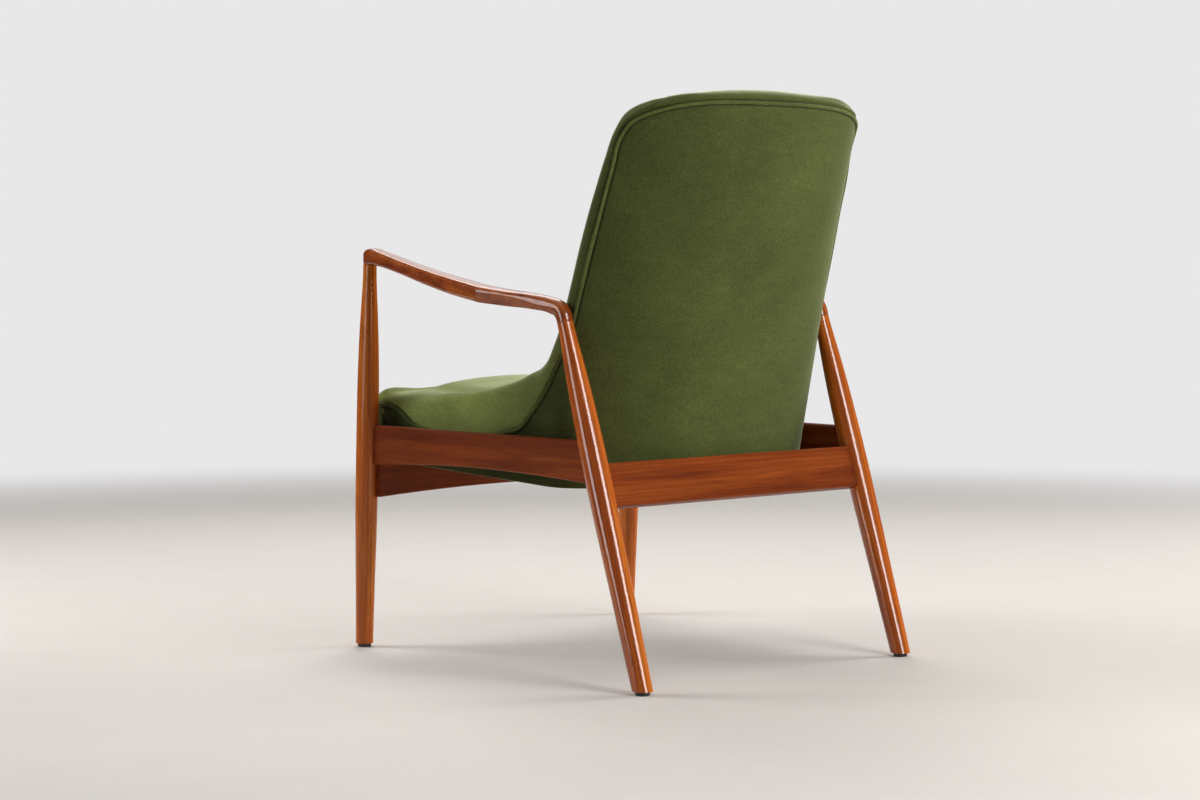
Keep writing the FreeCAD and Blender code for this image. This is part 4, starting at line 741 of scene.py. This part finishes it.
def noise(nt, vec, scale, detail=3.0, rough=0.55, distortion=0.0):
    n = nt.nodes.new("ShaderNodeTexNoise")
    n.inputs["Scale"].default_value = scale
    n.inputs["Detail"].default_value = detail
    n.inputs["Roughness"].default_value = rough
    n.inputs["Distortion"].default_value = distortion
    nt.links.new(vec, n.inputs["Vector"])
    return n


def ramp(nt, fac, stops, interp="LINEAR"):
    r = nt.nodes.new("ShaderNodeValToRGB")
    r.color_ramp.interpolation = interp
    el = r.color_ramp.elements
    while len(el) > len(stops):
        el.remove(el[-1])
    while len(el) < len(stops):
        el.new(0.5)
    for e, (p, c) in zip(el, stops):
        e.position = p
        e.color = c
    nt.links.new(fac, r.inputs["Fac"])
    return r.outputs["Color"]


def mixc(nt, fac, a, b_, blend="MIX"):
    m = nt.nodes.new("ShaderNodeMix")
    m.data_type = "RGBA"
    m.blend_type = blend
    if isinstance(fac, (int, float)):
        m.inputs[0].default_value = fac
    else:
        nt.links.new(fac, m.inputs[0])
    for k, v in ((6, a), (7, b_)):
        if isinstance(v, tuple):
            m.inputs[k].default_value = v
        else:
            nt.links.new(v, m.inputs[k])
    return m.outputs[2]


def mathn(nt, op, a, b_=0.0, c=0.0):
    m = nt.nodes.new("ShaderNodeMath")
    m.operation = op
    for k, v in enumerate((a, b_, c)):
        if isinstance(v, (int, float)):
            m.inputs[k].default_value = v
        else:
            nt.links.new(v, m.inputs[k])
    return m.outputs[0]


def bump(nt, height, strength, distance, normal=None):
    b = nt.nodes.new("ShaderNodeBump")
    b.inputs["Strength"].default_value = strength
    b.inputs["Distance"].default_value = distance
    nt.links.new(height, b.inputs["Height"])
    if normal is not None:
        nt.links.new(normal, b.inputs["Normal"])
    return b.outputs["Normal"]


def wood_mat(name, rotation, dark, mid, light, seed=0.0, coat=1.0, rough=0.12, stripe=0.6):
    """varnished hardwood, its grain along the local Z after the rotation"""
    m, nt, b = new_mat(name)
    v = coords(nt, rotation, (1, 1, 0.055), (seed, seed * 0.7, seed * 0.3))
    vf = coords(nt, rotation, (1, 1, 0.022), (seed, seed * 0.7, seed * 0.3))
    vb = coords(nt, rotation, (1, 1, 0.16), (seed, seed * 0.7, seed * 0.3))
    broad = noise(nt, v, 30.0, 4.0, 0.62, 0.8)
    fine_ = noise(nt, vf, 420.0, 4.0, 0.62, 0.2)
    pores = noise(nt, vf, 1150.0, 2.0, 0.5)
    blotch = noise(nt, vb, 7.0, 2.0, 0.5, 0.3)
    wv = nt.nodes.new("ShaderNodeTexWave")
    wv.wave_type = "BANDS"
    wv.bands_direction = "X"
    wv.inputs["Scale"].default_value = 46.0
    wv.inputs["Distortion"].default_value = 7.0
    wv.inputs["Detail"].default_value = 3.0
    wv.inputs["Detail Scale"].default_value = 1.2
    nt.links.new(v, wv.inputs["Vector"])
    base = ramp(nt, broad.outputs["Fac"], [(0.30, dark), (0.5, mid), (0.72, light)])
    ring = ramp(nt, wv.outputs["Fac"], [(0.0, (0.74, 0.66, 0.58, 1)), (0.5, (1, 1, 1, 1)), (1.0, (1.10, 1.06, 1.02, 1))])
    c = mixc(nt, stripe, base, ring, "MULTIPLY")
    streak = ramp(nt, fine_.outputs["Fac"], [(0.36, (0.66, 0.58, 0.52, 1)), (0.56, (1, 1, 1, 1)), (0.8, (1.12, 1.09, 1.05, 1))])
    c = mixc(nt, stripe + 0.1, c, streak, "MULTIPLY")
    pore = ramp(nt, pores.outputs["Fac"], [(0.30, (0.50, 0.40, 0.34, 1)), (0.42, (1, 1, 1, 1))])
    c = mixc(nt, 0.5, c, pore, "MULTIPLY")
    blot = ramp(nt, blotch.outputs["Fac"], [(0.32, (0.72, 0.64, 0.58, 1)), (0.5, (0.98, 0.97, 0.96, 1)), (0.68, (1.12, 1.12, 1.10, 1))])
    c = mixc(nt, 0.9, c, blot, "MULTIPLY")
    nt.links.new(c, b.inputs["Base Color"])
    b.inputs["Roughness"].default_value = 0.5
    b.inputs["Specular IOR Level"].default_value = 0.08
    b.inputs["Coat Weight"].default_value = coat
    b.inputs["Coat Roughness"].default_value = rough
    b.inputs["Coat IOR"].default_value = 1.5
    b.inputs["IOR"].default_value = 1.5
    h = mathn(nt, "ADD", mathn(nt, "MULTIPLY", fine_.outputs["Fac"], 0.6), mathn(nt, "MULTIPLY", pores.outputs["Fac"], 0.4))
    nm = bump(nt, h, 0.10, 0.0004)
    nt.links.new(nm, b.inputs["Normal"])
    nt.links.new(bump(nt, h, 0.02, 0.0003), b.inputs["Coat Normal"])
    return m


W_DARK, W_MID, W_LIGHT = srgb(156, 68, 14), srgb(193, 99, 26), srgb(218, 128, 44)
R_DARK, R_MID, R_LIGHT = srgb(96, 38, 10), srgb(130, 58, 18), srgb(152, 76, 26)
RAKE = math.atan(0.3254)
wood_front = wood_mat("wood_front_leg", (0, 0, 0), srgb(160, 72, 16), srgb(196, 103, 28), srgb(220, 132, 46), 0.31, coat=0.4)
wood_rear = wood_mat("wood_rear_leg", (RAKE, 0, 0), W_DARK, W_MID, W_LIGHT, 0.77)
wood_y = wood_mat("wood_side_rail", (math.pi / 2, 0, 0), R_DARK, R_MID, R_LIGHT, 1.37, coat=0.16, rough=0.28, stripe=0.45)
wood_arm = wood_mat("wood_armrest", (math.pi / 2 - 0.2, 0, 0), srgb(130, 54, 13), srgb(166, 80, 23), srgb(194, 108, 37), 2.11)
wood_x = wood_mat("wood_cross_rail", (0, math.pi / 2, 0), R_DARK, R_MID, R_LIGHT, 3.03, coat=0.16, rough=0.28, stripe=0.45)


def velvet_mat(name, deep, mid, pale, tint, sheen=1.0, weave=0.3, seed=0.0, painted_light_y=None, painted_light_z=None, painted_light_x=None):
    """short pile: a close nap, brushed patches, a pale sheen where it is seen at a low angle"""
    m, nt, b = new_mat(name)
    v = coords(nt, (0, 0, 0), (1, 1, 1), (seed, seed, seed))
    patch = noise(nt, v, 7.0, 3.0, 0.5, 0.6)
    mott = noise(nt, v, 260.0, 4.0, 0.7, 0.2)
    brush = noise(nt, coords(nt, (0, 0, 0), (0.45, 0.45, 1.6), (seed, seed, seed)), 48.0, 3.0, 0.55, 0.5)
    nap = noise(nt, v, 620.0, 3.0, 0.7)
    tiny = noise(nt, v, 1900.0, 2.0, 0.5)
    c = ramp(nt, patch.outputs["Fac"], [(0.30, deep), (0.5, mid), (0.72, pale)])
    m1 = ramp(nt, mott.outputs["Fac"], [(0.28, (0.68, 0.68, 0.66, 1)), (0.5, (1, 1, 1, 1)), (0.72, (1.34, 1.34, 1.30, 1))])
    c = mixc(nt, 0.8, c, m1, "MULTIPLY")
    m2 = ramp(nt, brush.outputs["Fac"], [(0.3, (0.93, 0.92, 0.94, 1)), (0.5, (1, 1, 1, 1)), (0.7, (1.07, 1.08, 1.06, 1))])
    c = mixc(nt, 1.0, c, m2, "MULTIPLY")
    n1 = ramp(nt, nap.outputs["Fac"], [(0.30, (0.66, 0.66, 0.62, 1)), (0.52, (1, 1, 1, 1)), (0.75, (1.34, 1.34, 1.28, 1))])
    c = mixc(nt, 0.9, c, n1, "MULTIPLY")
    # painted light and shade: the base colour is made lighter or darker step by step along X, Y and Z, standing in for
    # how the light falls on each part of the cover
    sep = nt.nodes.new("ShaderNodeSeparateXYZ")
    nt.links.new(v, sep.inputs[0])
    for axis, light_steps in (("X", painted_light_x), ("Y", painted_light_y), ("Z", painted_light_z)):
        if light_steps:
            p0, p1 = light_steps[0][0], light_steps[-1][0]
            t = mathn(nt, "DIVIDE", mathn(nt, "SUBTRACT", mathn(nt, "ADD", sep.outputs[axis], -seed), p0), p1 - p0)
            f = ramp(nt, t, [((p - p0) / (p1 - p0), (k / 2,) * 3 + (1,)) for p, k in light_steps], "EASE")
            c = mixc(nt, 1.0, c, mixc(nt, 1.0, f, (2.0, 2.0, 2.0, 1.0), "MULTIPLY"), "MULTIPLY")
    # painted shade: beside the piping the base colour is darkened, standing in for the shade that falls in the groove
    at = nt.nodes.new("ShaderNodeAttribute")
    at.attribute_name = "seam_painted_shade"
    c = mixc(nt, 1.0, c, ramp(nt, at.outputs["Fac"], [(0.0, (1, 1, 1, 1)), (1.0, (0.42, 0.42, 0.42, 1))]), "MULTIPLY")
    nt.links.new(c, b.inputs["Base Color"])
    b.inputs["Roughness"].default_value = 0.9
    b.inputs["Specular IOR Level"].default_value = 0.05
    b.inputs["Sheen Weight"].default_value = sheen
    b.inputs["Sheen Roughness"].default_value = 0.30
    b.inputs["Sheen Tint"].default_value = tint
    h = mathn(nt, "ADD", mathn(nt, "MULTIPLY", nap.outputs["Fac"], 0.7), mathn(nt, "MULTIPLY", tiny.outputs["Fac"], 0.3))
    n = bump(nt, h, weave, 0.0006)
    n = bump(nt, mott.outputs["Fac"], 0.14, 0.0008, n)
    nt.links.new(n, b.inputs["Normal"])
    return m


SHEEN = (0.80, 0.88, 0.58, 1.0)
# painted light and shade: the steps given to each velvet lighten the seat cover, most at its front and flanks, and
# darken the inside back, the outer cover's sides and front border, the back panel's edges and the front of the piping
velvet_in = velvet_mat("velvet_inner", srgb(76, 83, 43), srgb(82, 89, 47), srgb(88, 96, 51), SHEEN, seed=0.2,
                       painted_light_y=[(-0.10, 2.32), (0.06, 1.15)], painted_light_z=[(0.44, 1.0), (0.64, 0.60), (0.80, 0.62), (0.875, 0.84)])
velvet_out = velvet_mat("velvet_outer", srgb(74, 81, 42), srgb(79, 86, 45), srgb(85, 92, 48), SHEEN, seed=1.9,
                        painted_light_y=[(0.125, 0.57), (0.165, 1.0)], painted_light_x=[(-0.22, 0.95), (-0.05, 1.0), (0.05, 1.0), (0.20, 0.88)])
# painted highlight: the piping's colours are lighter than the covers', standing in for the light along the top of the
# cord; its front part is darkened as painted shade
velvet_pipe_painted_light = velvet_mat("velvet_piping", srgb(78, 85, 43), srgb(90, 98, 50), srgb(102, 111, 57), SHEEN, sheen=0.8, seed=3.1, painted_light_y=[(0.10, 0.55), (0.20, 1.0)])


def plain_mat(name, base, rough, metal=0.0, bump_s=0.08, scale=900.0, spread=0.12):
    m, nt, b = new_mat(name)
    v = coords(nt)
    n1 = noise(nt, v, scale, 3.0, 0.6)
    n2 = noise(nt, v, 24.0, 3.0, 0.5)
    lo, hi = 1 - spread, 1 + spread
    c = ramp(nt, n1.outputs["Fac"], [(0.3, (base[0] * lo, base[1] * lo, base[2] * lo, 1)), (0.7, (base[0] * hi, base[1] * hi, base[2] * hi, 1))])
    c = mixc(nt, 0.5, c, ramp(nt, n2.outputs["Fac"], [(0.3, (0.9, 0.9, 0.9, 1)), (0.7, (1.08, 1.08, 1.08, 1))]), "MULTIPLY")
    nt.links.new(c, b.inputs["Base Color"])
    b.inputs["Roughness"].default_value = rough
    b.inputs["Metallic"].default_value = metal
    nt.links.new(bump(nt, n1.outputs["Fac"], bump_s, 0.0003), b.inputs["Normal"])
    return m


glide_m = plain_mat("glide_black", (0.016, 0.016, 0.017), 0.42, bump_s=0.05)
steel_m = plain_mat("zinc_steel", (0.62, 0.62, 0.60), 0.34, metal=1.0, bump_s=0.05, scale=400.0, spread=0.08)
foam_m = plain_mat("foam_cream", (0.80, 0.74, 0.56), 0.95, bump_s=0.5, scale=1300.0)
raw_m = wood_mat("raw_wood", (0, math.pi / 2, 0), srgb(176, 140, 100), srgb(200, 166, 124), srgb(216, 186, 146), 5.0, coat=0.0)
raw_y = wood_mat("raw_wood_y", (math.pi / 2, 0, 0), srgb(176, 140, 100), srgb(200, 166, 124), srgb(216, 186, 146), 6.0, coat=0.0)
web_m = plain_mat("webbing_brown", (0.11, 0.075, 0.045), 0.85, bump_s=0.6, scale=700.0, spread=0.35)
dust_m = plain_mat("dust_cloth", (0.017, 0.017, 0.018), 0.92, bump_s=0.45, scale=1500.0, spread=0.3)


def paint(ob, mat):
    ob.data.materials.clear()
    ob.data.materials.append(mat)


def set_slots(ob, mat):
    if not ob.material_slots:
        ob.data.materials.append(mat)
    for s in ob.material_slots:
        s.material = mat


for n, ob in NODES.items():
    if n.startswith("glide_") and n != "glide_nails":
        set_slots(ob, glide_m)
    elif n in ("glide_nails", "bracket_screws", "shell_screws") or n.startswith("seat_bracket"):
        set_slots(ob, steel_m)
    elif n.startswith("front_leg"):
        set_slots(ob, wood_front)
    elif n.startswith("rear_leg"):
        set_slots(ob, wood_rear)
    elif n.startswith("side_rail"):
        set_slots(ob, wood_y)
    elif n in ("front_rail", "rear_rail"):
        set_slots(ob, wood_x)
    elif n.startswith("armrest"):
        set_slots(ob, wood_arm)
    elif n in ("seat_frame_left", "seat_frame_right"):
        set_slots(ob, raw_y)
    elif n.startswith("seat_frame") or n.endswith("dowels") or n == "back_shell":
        set_slots(ob, raw_m)
    elif n.startswith("seat_webbing"):
        set_slots(ob, web_m)
    elif n.endswith("foam"):
        set_slots(ob, foam_m)
    elif n == "dust_cover":
        set_slots(ob, dust_m)
    elif n == "piping":
        set_slots(ob, velvet_pipe_painted_light)
    elif n == "inner_cover":
        set_slots(ob, velvet_in)
    else:
        set_slots(ob, velvet_out)

paint(inner, velvet_in)
paint(outer, velvet_out)
paint(piping, velvet_pipe_painted_light)
paint(border, velvet_out)
paint(dust, dust_m)
for word in ("left", "right"):
    paint(arms[word], wood_arm)

# ---------------------------------------------------------------- what each piece is, and what it rides on
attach(inner, "root")
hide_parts("inner_cover", "seat_foam", "back_foam")
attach(outer, "root")
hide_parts("outer_cover")
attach(piping, "root")
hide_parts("piping")
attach(border, "root")
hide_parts("front_border")
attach(dust, "root")
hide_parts("dust_cover")
for word in ("left", "right"):
    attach(arms[word], "root")
    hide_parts("armrest_" + word)


# ---------------------------------------------------------------- stage, light, camera
def disc(name, profile, seg=96, hole=0.0):
    sv, sf = [], []
    for r, z in profile:
        for k in range(seg):
            t = 2 * math.pi * k / seg
            sv.append((r * math.cos(t), r * math.sin(t), z))
    for i in range(len(profile) - 1):
        for k in range(seg):
            sf.append((i * seg + k, (i + 1) * seg + k, (i + 1) * seg + (k + 1) % seg, i * seg + (k + 1) % seg))
    if not hole:
        sf.append(tuple(range(seg)))
    return mesh_object(name, sv, sf)


FLOOR_C = (0.76, 0.715, 0.665, 1)
WALL_C = (0.815, 0.805, 0.81, 1)
floor = disc("studio_floor", [(0.6, 0.0), (1.2, 0.0), (2.4, 0.0)])
prof = [(2.4, 0.0), (3.2, 0.0), (5.0, 0.0), (7.4, 0.0)]
for k in range(1, 9):
    t = math.radians(90 * k / 8)
    prof.append((7.4 + 1.2 * math.sin(t), 1.2 - 1.2 * math.cos(t)))
for k in range(1, 13):
    t = math.radians(90 * k / 12)
    prof.append((max(8.6 * math.cos(t), 0.01), 1.2 + 7.0 * math.sin(t)))
wall = disc("studio_wall", prof, hole=2.4)
wall.visible_diffuse = False
wall.visible_glossy = False
wall.visible_transmission = False
wall.visible_shadow = False


def stage_mat(name, fade):
    m, nt, b = new_mat(name)
    tc = nt.nodes.new("ShaderNodeTexCoord")
    grit = noise(nt, tc.outputs["Object"], 9.0, 4.0, 0.55)
    fc = mixc(nt, 0.35, FLOOR_C, ramp(nt, grit.outputs["Fac"], [(0.3, (0.97, 0.97, 0.97, 1)), (0.7, (1.03, 1.03, 1.03, 1))]), "MULTIPLY")
    nt.links.new(fc, b.inputs["Base Color"])
    b.inputs["Roughness"].default_value = 0.7
    b.inputs["Specular IOR Level"].default_value = 0.1
    if fade:
        sep = nt.nodes.new("ShaderNodeSeparateXYZ")
        nt.links.new(tc.outputs["Object"], sep.inputs[0])
        r2 = mathn(nt, "SQRT", mathn(nt, "ADD", mathn(nt, "MULTIPLY", sep.outputs["X"], sep.outputs["X"]),
                                     mathn(nt, "MULTIPLY", sep.outputs["Y"], sep.outputs["Y"])))
        far = mathn(nt, "ADD", r2, mathn(nt, "MULTIPLY", sep.outputs["Z"], 3.0))
        k = ramp(nt, mathn(nt, "MULTIPLY", far, 0.1), [(0.245, (0, 0, 0, 1)), (0.40, (1, 1, 1, 1))], "EASE")
        em = nt.nodes.new("ShaderNodeEmission")
        em.inputs["Color"].default_value = WALL_C
        mx = nt.nodes.new("ShaderNodeMixShader")
        nt.links.new(k, mx.inputs[0])
        nt.links.new(b.outputs["BSDF"], mx.inputs[1])
        nt.links.new(em.outputs[0], mx.inputs[2])
        out = [n for n in nt.nodes if n.type == "OUTPUT_MATERIAL"][0]
        nt.links.new(mx.outputs[0], out.inputs["Surface"])
    return m


paint(floor, stage_mat("studio_floor", False))
paint(wall, stage_mat("studio_wall", True))

world = bpy.data.worlds.new("studio")
scene.world = world
world.use_nodes = True
bg = world.node_tree.nodes["Background"]
bg.inputs["Color"].default_value = (0.97, 0.98, 1.0, 1)
bg.inputs["Strength"].default_value = 0.06


def area_light(name, loc, target, size, power, color=(1, 1, 1), size_y=None):
    ld = bpy.data.lights.new(name, "AREA")
    ld.energy = power
    ld.color = color
    ld.size = size
    if size_y:
        ld.shape = "RECTANGLE"
        ld.size_y = size_y
    ob = link(bpy.data.objects.new(name, ld))
    ob.location = loc
    d = Vector(target) - Vector(loc)
    ob.rotation_mode = "QUATERNION"
    ob.rotation_quaternion = d.to_track_quat("-Z", "Y")
    return ob


CAMP = Vector((2.8841, 2.7908 + SH, 0.64))
AZ, EL = math.radians(137.93), math.radians(3.17)
back = Vector((math.sin(AZ) * math.cos(EL), -math.cos(AZ) * math.cos(EL), math.sin(EL)))
LIGHTS = [
    # name, place, aimed at, width, power, height, lights surfaces, seen in the varnish
    ("overhead", (0.0, 0.0, 2.7), (0, 0, 0.3), 2.4, 16, None, True, True),
    ("high_front", (-1.0, -1.6, 2.9), (0, 0, 0.45), 1.6, 40, None, True, True),
    ("soft_front_left", (2.0, -2.2, 1.8), (0, 0, 0.45), 1.4, 56, None, True, False),
    ("soft_side_right", (-3.7, 1.75, 1.15), (0, 0, 0.5), 2.1, 150, None, True, False),
    ("soft_rear", (-0.1, 2.7, 1.5), (0, 0, 0.45), 1.1, 38, 1.2, True, False),
    ("strip_rear", (0.4, 2.7, 1.5), (0, 0, 0.5), 0.95, 85, 1.9, False, True),
    ("strip_left", (2.75, -0.25, 1.0), (0, 0, 0.5), 0.95, 30, 1.7, False, True),
    ("pale_card", (-2.9, -3.2, 2.7), (0, 0, 0.6), 4.6, 34, 2.6, False, True),
]
for name, loc, target, size, power, size_y, matt, shiny in LIGHTS:
    lamp = area_light(name, loc, target, size, power, size_y=size_y)
    lamp.visible_camera = False
    lamp.visible_diffuse = matt
    lamp.visible_glossy = shiny

cam = bpy.data.cameras.new("camera")
cam.sensor_width = 36.0
cam.lens = 79.65
cam.clip_start, cam.clip_end = 0.05, 60.0
co = link(bpy.data.objects.new("camera", cam))
co.location = CAMP
co.rotation_mode = "QUATERNION"
co.rotation_quaternion = (-back).to_track_quat("-Z", "Y")
scene.camera = co
scene.view_settings.view_transform = "Standard"

bpy.context.view_layer.update()
